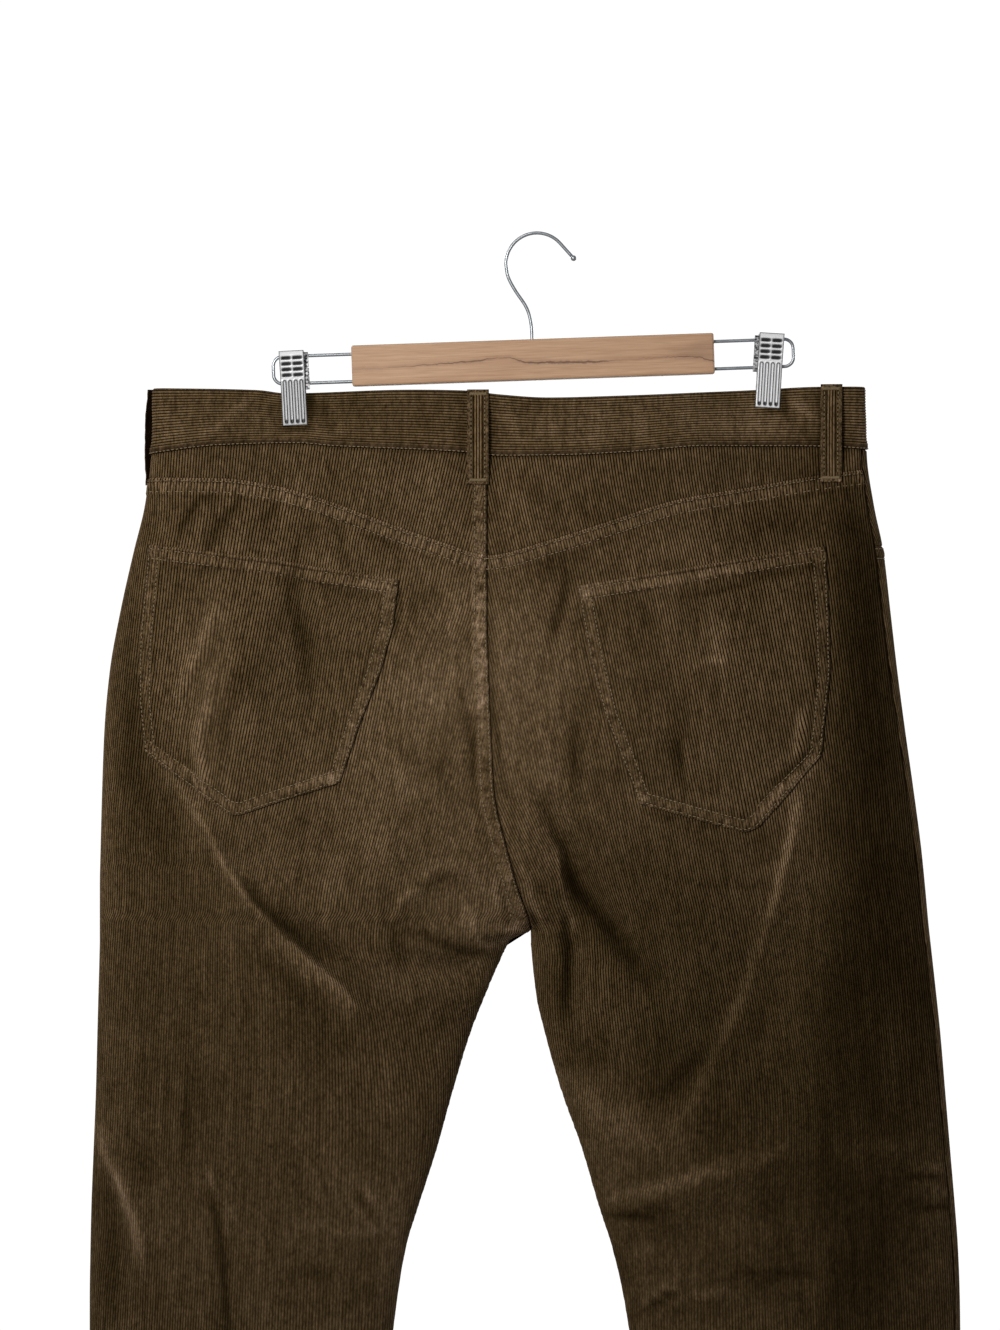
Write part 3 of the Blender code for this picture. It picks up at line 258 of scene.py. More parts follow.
CREASES = {
    "back": (
        # left leg
        (2, 2.6, 0.7, -236, 346, -224, 362, -214, 377, -206, 391, -200, 403),
        (2, 2.4, 0.85, -202, 399, -193, 414, -185, 425, -179, 432, -173, 438),
        (1, 2.6, 0.3, -198, 429, -190, 431, -182, 432),
        (-3, 5, -0.8, -186, 416, -177, 429, -168, 438, -158, 447, -148, 455, -140, 461),
        (-1.2, 5.6, -0.3, -162, 437, -148, 445, -136, 454, -127, 464),
        (2, 2.4, 0.78, -175, 436, -166, 445, -158, 453, -149, 461, -138, 471, -124, 484, -115, 496),
        (1.6, 5.4, 0.58, -168, 449, -156, 461, -145, 471, -131, 482, -119, 496),
        (-1.6, 6, -0.45, -178, 464, -162, 476, -150, 488, -136, 498),
        (-1.1, 11, -0.39, -257, 299, -251, 351, -237, 396),
        (2.4, 3.8, 1.05, -284, 572, -277, 590, -270, 604, -264, 618, -259, 630, -255, 644, -252, 658),
        (-1.4, 6.5, -0.5, -278, 604, -275, 626, -273, 652, -271, 694),
        (-1.4, 7, -0.3, -262, 572, -256, 590, -248, 606),
        (-1.8, 3.4, -0.75, -210, 614, -206, 624, -203, 637, -201, 652, -200, 668, -199, 684, -197, 716,
         -193, 750),
        (1.4, 2.2, 0.65, -210, 598, -208, 606, -206, 614),
        (1.2, 2.6, 0.45, -199, 619, -194, 627, -190, 634),
        (-0.8, 4, -0.25, -225, 550, -224, 572, -226, 596), (1.6, 2.4, 0.6, -118, 620, -111, 630, -104, 638),
        (1.4, 2.4, 0.6, -111, 606, -107, 616, -99, 625), (1.2, 2.6, 0.45, -98, 632, -93, 631, -88, 630),
        (0.8, 2.6, 0.36, -154, 631, -138, 635, -122, 638, -106, 640, -92, 640),
        (-0.8, 2.6, -0.36, -116, 612, -113, 620, -108, 628),
        (-0.8, 5, -0.34, -152, 664, -141, 665, -130, 666),
        # under the crotch
        (1.2, 4.8, 0.34, -86, 427, -78, 415, -66, 405, -53, 404, -41, 411, -31, 421, -25, 432),
        (0.2, 2.4, 0.35, -46, 468, -31, 461, -14, 451), (-1, 3.4, -0.22, -72, 418, -60, 413, -49, 416),
        (1.6, 2.6, 0.42, -92, 438, -88, 428, -82, 422, -74, 420),
        (1.4, 2, 0.3, -48, 425, -42, 436, -40, 446, -37, 453),
        (1.2, 1.6, 0.75, -37, 454, -31, 456.5, -23, 453.5, -16, 449),
        (0.6, 5, 0.3, -52, 438, -44, 443, -40, 449), (-2.2, 4.2, -0.55, -84, 446, -70, 451, -58, 456),
        (-2.4, 3, -0.85, -58, 456, -46, 460, -36, 461.5, -28, 462),
        (1, 2.6, 0.4, -28, 408, -26, 420, -24, 432), (0.8, 2.2, 0.35, -20, 405, -18, 412, -17, 420),
        (1.6, 2.2, 0.55, -12, 398, -4, 425, 2, 437, 3, 444), (-2.4, 1.8, -1, -4, 435, -2, 441, 0, 447),
        (-1.4, 6, -0.45, -91, 442, -89, 457, -86, 470), (1.1, 9, 0.19, -106, 363, -101, 386, -102, 407),
        # right leg
        (-1.4, 4, -0.5, 2, 366, 9, 379, 16, 392),
        (-3.6, 5, -1.1, 16, 391, 18, 402, 22, 413, 29, 424, 39, 436, 50, 450, 60, 464),
        (-1.4, 6, -0.45, 60, 464, 68, 474, 76, 482), (-1, 7, -0.22, 30, 432, 45, 455, 58, 472),
        (-2.4, 3.4, -1.05, 17, 440, 19, 452, 19, 466, 18, 498),
        (1, 1.6, 0.6, 12, 392, 13.5, 405, 15, 417, 19, 431, 23, 443, 21, 453),
        (-1.2, 4, -0.5, 19, 408, 24, 424, 29, 440, 28, 452),
        (2.2, 3.2, 0.8, 166, 360, 162, 380, 158, 398, 152, 420, 147, 435),
        (1.8, 3.2, 0.38, 148, 436, 139, 462, 128, 492, 113, 522, 101, 550, 92, 563, 84, 576),
        (-2.4, 6, -0.6, 112, 518, 98, 532, 86, 545, 76, 552), (-1, 8, -0.35, 150, 478, 142, 500, 130, 524),
        (0.8, 3, 0.25, 158, 400, 145, 410, 135, 414), (-1.1, 22, -0.1, 66, 428, 86, 466, 79, 511),
        (1.1, 11, 0.37, 20, 538, 41, 562, 66, 577, 89, 583),
        (2.4, 3.4, 0.75, 44, 620, 60, 615, 76, 610, 92, 606, 106, 600, 118, 597, 131, 596),
        (1.2, 3, 0.5, 138, 594, 146, 589, 156, 584), (-2, 2.6, -1.1, 43, 628, 57, 628.5, 70, 627, 84, 626),
        (-1.4, 3, -0.7, 128, 664, 145, 666, 160, 664, 176, 663), (1, 3.4, 0.3, 60, 656, 70, 651, 80, 645),
        (1.6, 3.2, 0.55, 98, 681, 115, 676, 132, 677), (1.4, 2.8, 0.5, 68, 684, 82, 675, 93, 671),
        (-1.3, 2.8, -0.6, 60, 695, 72, 688, 82, 680, 92, 675),
        (-0.8, 2.6, -0.3, 84, 692, 95, 687, 106, 684), (0.8, 4, 0.3, 192, 578, 193, 587, 193, 596),
        (1.6, 2.4, 0.75, 238, 596, 252, 598, 264, 602), (-1.4, 2.4, -0.6, 238, 604, 252, 605, 266, 608),
        (1.6, 2.4, 0.75, 236, 612, 252, 611, 266, 614), (-1.8, 2.8, -0.95, 238, 621, 253, 624, 268, 623),
        (0, 5, -0.5, 247, 400, 256, 480, 263, 560, 268, 640, 272, 700),
        # below the yoke, at the left
        (-1.4, 2.6, -0.7, -208, 168, -217, 172, -224, 182, -229, 192, -231, 198),
        (-1.4, 2.8, -0.7, -190, 171, -197, 180, -205, 190, -211, 201),
        (-1.2, 3, -0.8, -168, 174, -171, 180, -174, 186), (-1.2, 4, -0.5, -148, 180, -145, 187, -143, 192),
        (-1.3, 3.4, -0.6, -152, 192, -153, 202, -155, 210),
        (-1.3, 2.8, -0.55, -133, 183, -127, 192, -125, 202, -122, 211),
        (-1.1, 4, -0.4, -112, 190, -98, 199, -88, 208), (1.2, 3, 0.3, -211, 178, -214, 186, -218, 196),
        (1.2, 6, 0.25, -190, 188, -191, 195, -192, 202),
        # left pocket
        (1.8, 9, 0.25, -204, 222, -202, 236, -204, 250),
        (2.5, 4.6, 0.5, -206, 240, -211, 252, -215, 266, -221, 277, -226, 288, -230, 296),
        (2.5, 4.2, 0.62, -211, 283, -211, 297, -212, 307, -216, 318, -217, 328, -215, 338, -213, 348, -214,
         362),
        (-1.8, 6, -0.7, -157, 220, -156, 238, -152, 253, -148, 270, -146, 290),
        (-1.6, 8, -0.35, -180, 278, -196, 300, -201, 320, -194, 334),
        (-0.8, 10, -0.22, -176, 250, -184, 280, -172, 312),
        (-1, 2.6, -0.45, -150, 222, -138, 226, -125, 231, -106, 233),
        (1, 3, 0.35, -250, 331, -236, 341, -221, 346, -205, 350, -194, 356),
        (0.6, 3.4, 0.45, -140, 349, -134, 348, -129, 350), (0.8, 6, 0.28, -168, 356, -152, 352, -136, 349),
        (-0.8, 3, -0.4, -166, 362, -148, 358, -130, 355), (0.8, 5, 0.22, -245, 288, -244, 293, -244, 299),
        (0.8, 6, 0.2, -232, 306, -229, 312, -226, 318),
        # seat
        (-1.8, 3.4, -0.75, 19, 217, 16, 235, 12, 247, 10, 258),
        (-0.5, 2, -0.22, 25, 234, 28, 255, 33, 280, 38, 300),
        (-1.6, 4.6, -0.5, 30, 296, 27, 312, 23, 326, 22, 338, 23, 350, 26, 366),
        (0.8, 6, 0.18, -92, 334, -84, 352, -65, 368), (-0.8, 5, -0.3, -88, 328, -74, 341, -58, 343),
        (-1, 2.4, -0.45, -30, 224, -29, 260, -28, 300, -26, 320, -23, 340, -21, 360),
        (-1.2, 2.8, -0.6, -49, 296, -46, 308, -43, 320, -41, 336, -41, 362),
        (0, 3, -0.5, -43, 224, -37, 224, -32, 224), (0, 5, 0.34, -37, 186, -37, 240, -37, 303),
        (0, 5, -0.38, -36, 312, -35, 345, -31, 380, -23, 410), (0.6, 6, 0.18, -54, 222, -53, 250, -52, 286),
        (-1, 2.2, -0.5, -88, 220, -88, 240, -90, 256),
        # right pocket
        (0.4, 6, 0.55, 28, 230, 33, 229, 39, 230), (0.6, 3.6, 0.28, 42, 228, 80, 226, 110, 220, 136, 214),
        (-1, 2.8, -0.6, 92, 234, 118, 229, 142, 222, 165, 217, 186, 214),
        (0.8, 4, 0.42, 73, 240, 80, 241, 86, 252), (-0.6, 5, -0.32, 64, 246, 69, 248, 73, 252),
        (1.1, 9, 0.38, 116, 244, 116, 260, 112, 272),
        (0.3, 2, 0.58, 100, 278, 107, 274, 115, 274, 121, 270),
        (-1.2, 3.6, -0.34, 91, 298, 95, 314, 89, 328, 91, 344, 93, 358),
        (-1, 8, -0.42, 86, 320, 87, 330, 88, 340), (1.6, 3.4, 0.62, 169, 306, 167, 320, 164, 334),
        (1.2, 3.4, 0.38, 179, 337, 168, 347, 156, 357, 148, 366, 139, 375),
        (-1.2, 2.6, -0.5, 172, 333, 160, 346, 147, 355), (0.2, 2.4, 0.62, 66, 355, 66, 361, 66, 367),
        (-0.8, 2.6, -0.45, 67, 370, 85, 374, 100, 377, 119, 380), (0.6, 4, 0.2, 72, 362, 96, 363, 128, 368),
        # yoke and waistband, with painted shadows beside the belt loops
        (-0.9, 7, -0.21, -11, 158, 7, 171, 15, 186), (0.9, 6, 0.16, -69, 151, -67, 161, -65, 171),
        (-0.9, 6, -0.18, -133, 145, -129, 155, -125, 164),
        (1, 3, 0.38, 159, 103, 169, 111, 178, 118, 185, 123),
        (-0.9, 4, -0.35, 157, 108, 164, 120, 174, 131),
        (-0.8, 4, -0.32, -146, 106, -138, 113, -133, 123, -131, 134),
        (0.9, 3, 0.32, -214, 129, -203, 122, -192, 111, -181, 102),
        (0.6, 3.5, 0.25, -21, 110, -16, 122, -11, 136), (0.5, 3.5, 0.2, 5, 110, 10, 121, 14, 134),
        (0.5, 3.5, 0.22, 63, 112, 66, 122, 66, 135), (0, 3, -0.6, -48, 100, -48.5, 125, -48, 154),
        (0, 3, -0.45, -29, 100, -29, 125, -29, 156), (0, 3, -0.95, 183, 98, 183, 125, 182, 156),
        # the painted shadow under the waistband's foot, and a paler line along its turned edge
        (0, 0.9, -0.42, *BAND_FOOT_LINE),
        (0, 0.9, 0.8, *np.subtract(BAND_FOOT_LINE, (0, 2) * 13)),
        # painted shade down the right side, where the cloth turns away from the lamp
        (-0.5, 19, -1.05, 203, 172, 209, 209, 212, 261, 218, 331),
        (-0.5, 34, -1.08, 226, 338, 232, 415, 224, 511, 208, 601, 201, 704),
        # the stretch of leg that hangs out of sight
        (3.4, 12, 0.22, -262, 770, -220, 792, -170, 796), (-3, 11, -0.24, -250, 800, -210, 818, -160, 816),
        (3, 12, 0.22, 112, 786, 160, 800, 214, 790), (2.8, 12, 0.19, 230, 1060, 200, 1100, 160, 1124),
        (-2.8, 12, -0.21, -150, 1060, -190, 1090, -240, 1104),
    ),
    "front": (
        (2.4, 6, 0.2, -226, 326, -188, 352, -148, 384, -104, 404),
        (-2, 6, -0.22, -222, 346, -184, 372, -140, 402),
        (2.2, 5.5, 0.2, -196, 396, -150, 414, -96, 424, -48, 424),
        (2.4, 6, 0.2, 206, 316, 164, 344, 122, 376, 80, 400), (-2, 6, -0.22, 200, 336, 160, 364, 116, 394),
        (2.2, 5.5, 0.2, 176, 394, 130, 412, 80, 424, 36, 424),
        (1.6, 4.5, 0.16, -60, 300, -40, 340, -24, 380), (1.6, 4.5, 0.16, 56, 296, 38, 338, 20, 378),
        (3, 8, 0.18, -110, 676, -166, 690, -230, 682), (2.8, 8, 0.18, 94, 664, 150, 680, 220, 690),
        (2.4, 7, 0.14, -130, 738, -180, 748, -226, 740), (2.4, 8, 0.14, 110, 742, 160, 752, 212, 748),
        (2.2, 12, 0.12, -250, 1040, -210, 1082, -160, 1100),
    ),
}


# ---------------------------------------------------------------- curves and tables
def smooth_curve(points_x, points_y, x):
    """A smooth curve through table rows that never overshoots between two of them."""
    px = np.asarray(points_x, float)
    py = np.asarray(points_y, float)
    step = np.diff(px)
    slope = np.diff(py) / step
    tangent = np.empty_like(py)
    tangent[0], tangent[-1] = slope[0], slope[-1]
    before, after = slope[:-1], slope[1:]
    steady = before * after > 0
    weight_a = 2 * step[1:] + step[:-1]
    weight_b = step[1:] + 2 * step[:-1]
    safe_before, safe_after = np.where(steady, before, 1.0), np.where(steady, after, 1.0)
    mean = (weight_a + weight_b) / (weight_a / safe_before + weight_b / safe_after)
    tangent[1:-1] = np.where(steady, mean, 0.0)
    x = np.clip(x, px[0], px[-1])
    i = np.clip(np.searchsorted(px, x) - 1, 0, len(step) - 1)
    t = (x - px[i]) / step[i]
    rise = py[i] * (1 + 2 * t) * (1 - t) ** 2 + py[i + 1] * t * t * (3 - 2 * t)
    lean = tangent[i] * t * (1 - t) ** 2 + tangent[i + 1] * t * t * (t - 1)
    return rise + lean * step[i]


def table_value(columns, rows, name, drop):
    index = columns.index(name)
    return smooth_curve([row[0] for row in rows], [row[index] for row in rows], drop)


def line_drop(line, x):
    """The second number of a table's pairs, at a value of the first."""
    return smooth_curve([p[0] for p in line], [p[1] for p in line], x)


def smoothstep(low, high, value):
    t = np.clip((value - low) / (high - low), 0.0, 1.0)
    return t * t * (3 - 2 * t)


def unit(vectors):
    return vectors / np.linalg.norm(vectors, axis=-1, keepdims=True)


def run_length(points):
    """How far along a line of points each of them is."""
    return np.concatenate([[0], np.cumsum(np.linalg.norm(np.diff(points, axis=0), axis=1))])


def at_places(places, length, values):
    """The columns of a line's values at other places along it."""
    return np.stack([np.interp(places, length, column) for column in np.transpose(values)], axis=-1)


def quarter_round(t):
    t = np.clip(t, 0.0, 1.0)
    return np.sqrt(1.0 - (1.0 - t) ** 2)


def bell(distance, width):
    return np.exp(-(distance / width) ** 2)


def path_through(points, steps):
    """Points on a smooth path through the given points."""
    pts = np.asarray(points, float)
    padded = np.vstack([2 * pts[0] - pts[1], pts, 2 * pts[-1] - pts[-2]])
    out = []
    for i in range(1, len(padded) - 2):
        a, b, c, d = padded[i - 1:i + 3]
        for t in np.arange(steps) / steps:
            out.append(0.5 * (2 * b + (c - a) * t + (2 * a - 5 * b + 4 * c - d) * t ** 2
                              + (3 * b - a - 3 * c + d) * t ** 3))
    out.append(pts[-1])
    return np.array(out)


def uneven(t, period, seed):
    """A wave from about -1 to 1 whose length and height keep changing."""
    drift = 1.3 * np.sin(t / (period * 4.1) + seed)
    wave = np.sin(t * TAU / period + seed + drift)
    wave += 0.6 * np.sin(t * TAU / (period * 1.63) + 2.1 * seed - drift)
    return (wave + 0.4 * np.sin(t * TAU / (period * 0.57) + 0.7 * seed)) / 1.6


# ---------------------------------------------------------------- the garment's surface
def body(name, drop):
    return table_value(BODY_COLUMNS, BODY_ROWS, name, drop)


def inner_edge(half, face, drop):
    """x of the rise seam above the crotch, and of the leg's inner fold below it."""
    edge = body(half + "_inner", drop)
    if face == "back":
        return edge
    return np.where(drop < CROTCH_DROP, line_drop(CENTRE_FRONT, drop), edge)


def saddle_height(drop):
    return np.clip((CROTCH_DROP - drop) / SADDLE_HEIGHT, 0.0, 1.0)


def fold_profile(curve, width, x, drop):
    """1 on a fold's line, fading across it and towards its two ends."""
    nearest = np.full(x.shape, 1e9)
    along = np.zeros(x.shape)
    for i in range(len(curve) - 1):
        (ax, az), (bx, bz) = curve[i], curve[i + 1]
        length2 = (bx - ax) ** 2 + (bz - az) ** 2
        t = np.clip(((x - ax) * (bx - ax) + (drop - az) * (bz - az)) / length2, 0, 1)
        d2 = (x - ax - t * (bx - ax)) ** 2 + (drop - az - t * (bz - az)) ** 2
        closer = d2 < nearest
        nearest = np.where(closer, d2, nearest)
        along = np.where(closer, (i + t) / (len(curve) - 1), along)
    start, length, power = FOLD_ENDS
    return np.sin(np.pi * np.clip(start + length * along, 0, 1)) ** power * np.exp(-nearest / width ** 2)


def fold_relief(face, x, drop, painted=False):
    """How far one face's folds and creases lift the cloth outwards or, painted, the painted light and shade
    along them.

    A path marks where its painted light and shade lie, to the side of the fold's crest that is turned up and
    to the left, towards the lamp.
    """
    x, drop = np.broadcast_arrays(x, drop)
    total = np.zeros(x.shape)
    for height, width, pale, *path in FOLDS[face] + CREASES[face]:
        amount = pale if painted else height
        if not amount:
            continue
        curve = path_through(np.reshape(path, (-1, 2)), FOLD_STEPS)
        if not painted:
            curve = curve + np.array(CREST_SHIFT) * width
        reach = FOLD_REACH * width
        (low_x, low_drop), (high_x, high_drop) = curve.min(0) - reach, curve.max(0) + reach
        near = (x > low_x) & (x < high_x) & (drop > low_drop) & (drop < high_drop)
        if near.any():
            total[near] += amount * fold_profile(curve, width, x[near], drop[near])
    return total


def half_depth_at(half, face, x, drop, fold_x, inner_x, inset):
    """Distance of the cloth from the middle plane."""
    width = np.abs(inner_x - fold_x)
    to_inner = np.abs(inner_x - x)
    if half == "left":
        notch = (body("left_inner", drop) - body("left_soft", drop)) * smoothstep(0, NOTCH_REACH, to_inner)
        width = width - notch
        to_inner = to_inner - notch
    round_out = np.minimum(body("fold_round", drop), width / 2)
    full = body("half_depth", drop) * FACE_DEPTH[face] - inset
    from_fold = quarter_round(np.abs(x - fold_x) / round_out)
    shape = from_fold * quarter_round(np.hypot(to_inner / (width / 2), saddle_height(drop)))
    depth = full * shape
    fade = 1 - smoothstep(*PINCH_DROPS, drop)
    for clip_x, _, _ in CLIP_PLACES.values():
        pinch = np.exp(-(np.abs(x - clip_x) / PINCH_REACH) ** PINCH_POWER) * fade
        depth = depth * (1 - pinch) + (PINCHED_HALF_DEPTH - inset) * pinch
    return depth + fold_relief(face, x, drop) * smoothstep(*SHAPE_FADE, shape)


def cloth_point(half, face, u, drop, inset=0.0):
    """A point of the cloth. u runs from 0 at the side fold to 1 at the inner edge."""
    u, drop = np.broadcast_arrays(np.asarray(u, float), np.asarray(drop, float))
    towards = 1.0 if half == "left" else -1.0
    arch = quarter_round(saddle_height(drop))
    fold_x = body(half + "_fold", drop) + towards * inset
    inner_x = inner_edge(half, face, drop) - towards * inset * (1 - arch)
    x = fold_x + (inner_x - fold_x) * u
    y = OUTWARD[face] * half_depth_at(half, face, x, drop, fold_x, inner_x, inset)
    return np.stack([x, y, -drop], axis=-1)


def signed_point(half, q, drop, inset=0.0):
    """A point at a signed fraction q: positive on the back, negative on the front, 0 at the side fold."""
    q, drop = np.broadcast_arrays(np.asarray(q, float), np.asarray(drop, float))
    u = (1 - np.cos(np.pi * np.abs(q))) / 2
    out = np.empty(q.shape + (3,))
    for face, here in (("back", q >= 0), ("front", q < 0)):
        if here.any():
            out[here] = cloth_point(half, face, u[here], drop[here], inset)
    return out


def side_seam_q(half, drop):
    """Signed q of the side seam: on the front at the left, on the back at the right."""
    distance = table_value(SIDE_SEAM_COLUMNS, SIDE_SEAM_ROWS, half, drop)
    width = np.abs(body(half + "_inner", drop) - body(half + "_fold", drop))
    q = np.arccos(1 - 2 * distance / width) / np.pi
    return -q if half == "left" else q


def on_face(half, face, x, drop):
    """Points and outward normals of the cloth at (x, drop) on one face."""
    x, drop = np.asarray(x, float), np.asarray(drop, float)

    def depth(px, pd):
        return half_depth_at(half, face, px, pd, body(half + "_fold", pd), inner_edge(half, face, pd), 0.0)

    step = NORMAL_STEP
    slope_x = (depth(x + step, drop) - depth(x - step, drop)) / (2 * step)
    slope_d = (depth(x, drop + step) - depth(x, drop - step)) / (2 * step)
    normal = unit(np.stack([-slope_x, np.full(x.shape, OUTWARD[face]), slope_d], axis=-1))
    return np.stack([x, OUTWARD[face] * depth(x, drop), -drop], axis=-1), normal


# ---------------------------------------------------------------- corduroy
PITCH = 1.81                    # from wale to wale
# A wale's columns: share of the pitch, lift, and how much of its pile shows; the material paints shade where
# little of it shows.
WALE_COLUMNS = ((0.0, -0.36, 0.0), (0.27, 0.14, 1.0), (0.73, 0.14, 1.0))
WALE_MARGIN = 150.0             # wales start this far beyond a panel's sides, for those that lean into it
WALE_SHADES = 4096
WALE_SEED = 7
OWN_SHADE = 0.035               # how much wales differ one by one
STREAK_SHADE = 0.03             # and in streaks
STREAK_WALES = 7                # this many wales wide
SAMPLES = 420                   # along a row of a panel, before the wales are laid in it
EDGE = 0.16                     # half a seam's gap

# How the wales lean from upright, in degrees, + to the left going down: near the side, in the middle
# and near the inner edge of each panel.
LEAN_COLUMNS = ("drop", "outer", "middle", "inner")
LEAN_ROWS = {
    ("left", "back"): (
        (140, 3, 9, 12), (250, 8, 11, 14), (350, 6, 12, 14), (385, 5, 15, 15), (410, 4, 12, 10),
        (430, 4, 5, 1), (466, 3.5, -4, -9), (511, 3, 0, -8), (556, 2.5, 2, -4), (590, 2.5, 2.5, 1),
        (700, 2.5, 2.5, 2.5), (1200, 1.5, 1.5, 1.5),
    ),
    ("right", "back"): (
        (140, -2, -6, -9), (200, -8, -13, -13), (300, -8, -11, -13), (400, -7, -11, -17),
        (430, -7, -11, -14), (466, -6.5, -11, -8), (511, -6, -10, -6), (556, -6, -3, 5), (590, -5, 2, 8),
        (628, -4, -2, 0), (700, -3, -2.5, 0), (1200, -1, -1, 0),
    ),
    ("left", "front"): (
        (140, 2, 1, 0), (350, 4, 2, 1), (430, 4, 4, 8), (520, 3, 3, 7), (650, 2, 2, 4), (1200, 1, 1, 1),
    ),
    ("right", "front"): (
        (140, -2, -1, 0), (350, -4, -2, -1), (430, -4, -4, -8), (520, -3, -3, -7), (650, -2, -2, -4),
        (1200, -1, -1, -1),
    ),
}
LEAN_PLACES = (0.1, 0.5, 0.92)
REFERENCE_X = {"left": -170.0, "right": 150.0}

# The forms that a sewn edge takes: height and width of its thick band, the stitch rows' distances from the
# edge, the height and length of its puckers, how deep the edge itself turns in, how far the pile is crushed,
# how much paler the band is, and the painted shade (+) or painted highlight (-) along the edge itself.
SEAM_COLUMNS = ("height", "width", "rows", "pucker", "period", "roll", "crush", "pale", "edge_dark")
SEAM_FORMS = {
    "plain": (0.0, 3.0, (), 0.12, 9.0, 0.9, 0.2, 0.0, 0.45),
    "under": (0.0, 3.0, (), 0.10, 9.0, 0.3, 0.1, 0.0, 0.12),
    "felled": (0.75, 10.0, (2.2, 9.0), 0.85, 4.4, 0.3, 0.16, 0.36, -0.85),
    "centre": (0.8, 9.4, (1.5, 7.9), 0.85, 5.2, 0.35, 0.6, 0.38, -0.3),
    "pocket_side": (0.25, 8.6, (1.6, 8.0), 0.48, 5.4, 0.5, 0.4, 0.34, -0.45),
    "pocket_hem": (0.45, 9.2, (2.6, 8.7), 0.50, 4.4, 0.35, 0.16, 0.48, -0.5),
    "scoop": (0.45, 8.6, (1.6, 7.8), 0.3, 7.0, 0.7, 0.2, 0.08, 0.1),
    "band_foot": (0.25, 3.6, (2.7,), 0.25, 7.0, 0.25, 0.15, 0.12, -0.2),
    "turned": (0.0, 1.5, (), 0.0, 9.0, 1.0, 0.1, 0.0, 0.25),
    "leg_hem": (0.35, 27.0, (26.0,), 0.25, 8.0, 0.9, 0.1, 0.0, 0.2),
}
STITCH_PRESS = 0.5              # depth of the trench along a stitch row
STITCH_SPREAD = 0.75            # and half its width
TURN_IN = (-0.2, 1.2)           # where an edge turns in
TURN_POWER = 1.5
BAND_FADE = 1.6                 # the thick band's far side fades over this
PLAIN_REACH = 1.2               # how far an edge without stitch rows shows
PUCKER_SLANT = (0.35, 0.5)      # of the pucker's form, and of its shade
# PUCKER_SHADE paints light and shade across the puckers
PUCKER_SHADE = 0.4
SEAM_SHADOW = (0.16, 1.4)       # amount and reach of the painted shadow beside a thick band
# reach of the painted shade (+) and highlight (-) at the edge itself
EDGE_DARK_REACH = 0.9
# PRESS_SHADE paints shade into a stitch row's trench
PRESS_SHADE = 0.12


def seam_lift(form, distance, along, seed):
    """At a distance from a sewn edge: the cloth's lift, how far stitches press and wear crushes its pile, and
    how
    much paler or darker it is: its paler band, painted shade and highlights on puckers, trenches and edges,
    and the painted shadow beside a thick band."""
    seam = dict(zip(SEAM_COLUMNS, SEAM_FORMS[form]))
    width = seam["width"]
    band = smoothstep(0, 1.0, distance) * (1 - smoothstep(width, width + BAND_FADE, distance))
    swell = np.exp(-((distance - width * 0.5) / (width * 0.62)) ** 4)
    ruffle = seam["pucker"] * uneven(along + PUCKER_SLANT[0] * distance, seam["period"], seed)
    lift = seam["height"] * band + swell * ruffle
    press = np.zeros_like(distance)
    for place in seam["rows"]:
        press = np.maximum(press, bell(distance - place, STITCH_SPREAD))
    lift = lift - STITCH_PRESS * press - seam["roll"] * (1 - smoothstep(*TURN_IN, distance)) ** TURN_POWER
    reach = width if seam["rows"] else PLAIN_REACH
    near = smoothstep(0.0, 0.6, distance) * (1 - smoothstep(reach - 0.6, reach + 0.9, distance))
    amount, spread = SEAM_SHADOW
    shadow = amount * bell(distance - reach - BAND_FADE, spread) * (seam["height"] > 0)
    wave = uneven(along + PUCKER_SLANT[1] * distance, seam["period"], seed) * bool(seam["rows"])
    # the band's paleness, the painted light and shade of its puckers, and the painted shadow beside it
    pale = near * (seam["pale"] + PUCKER_SHADE * wave) - shadow
    # painted shade (+) and highlight (-) at the edge, and painted shade in the trenches
    pale = pale - seam["edge_dark"] * bell(distance, EDGE_DARK_REACH) - PRESS_SHADE * press
    return lift, press, near * seam["crush"], pale


UV_BAND = 0.05                  # share of the map, at its foot, that a piece's wrong side takes
UV_GAP = 0.02


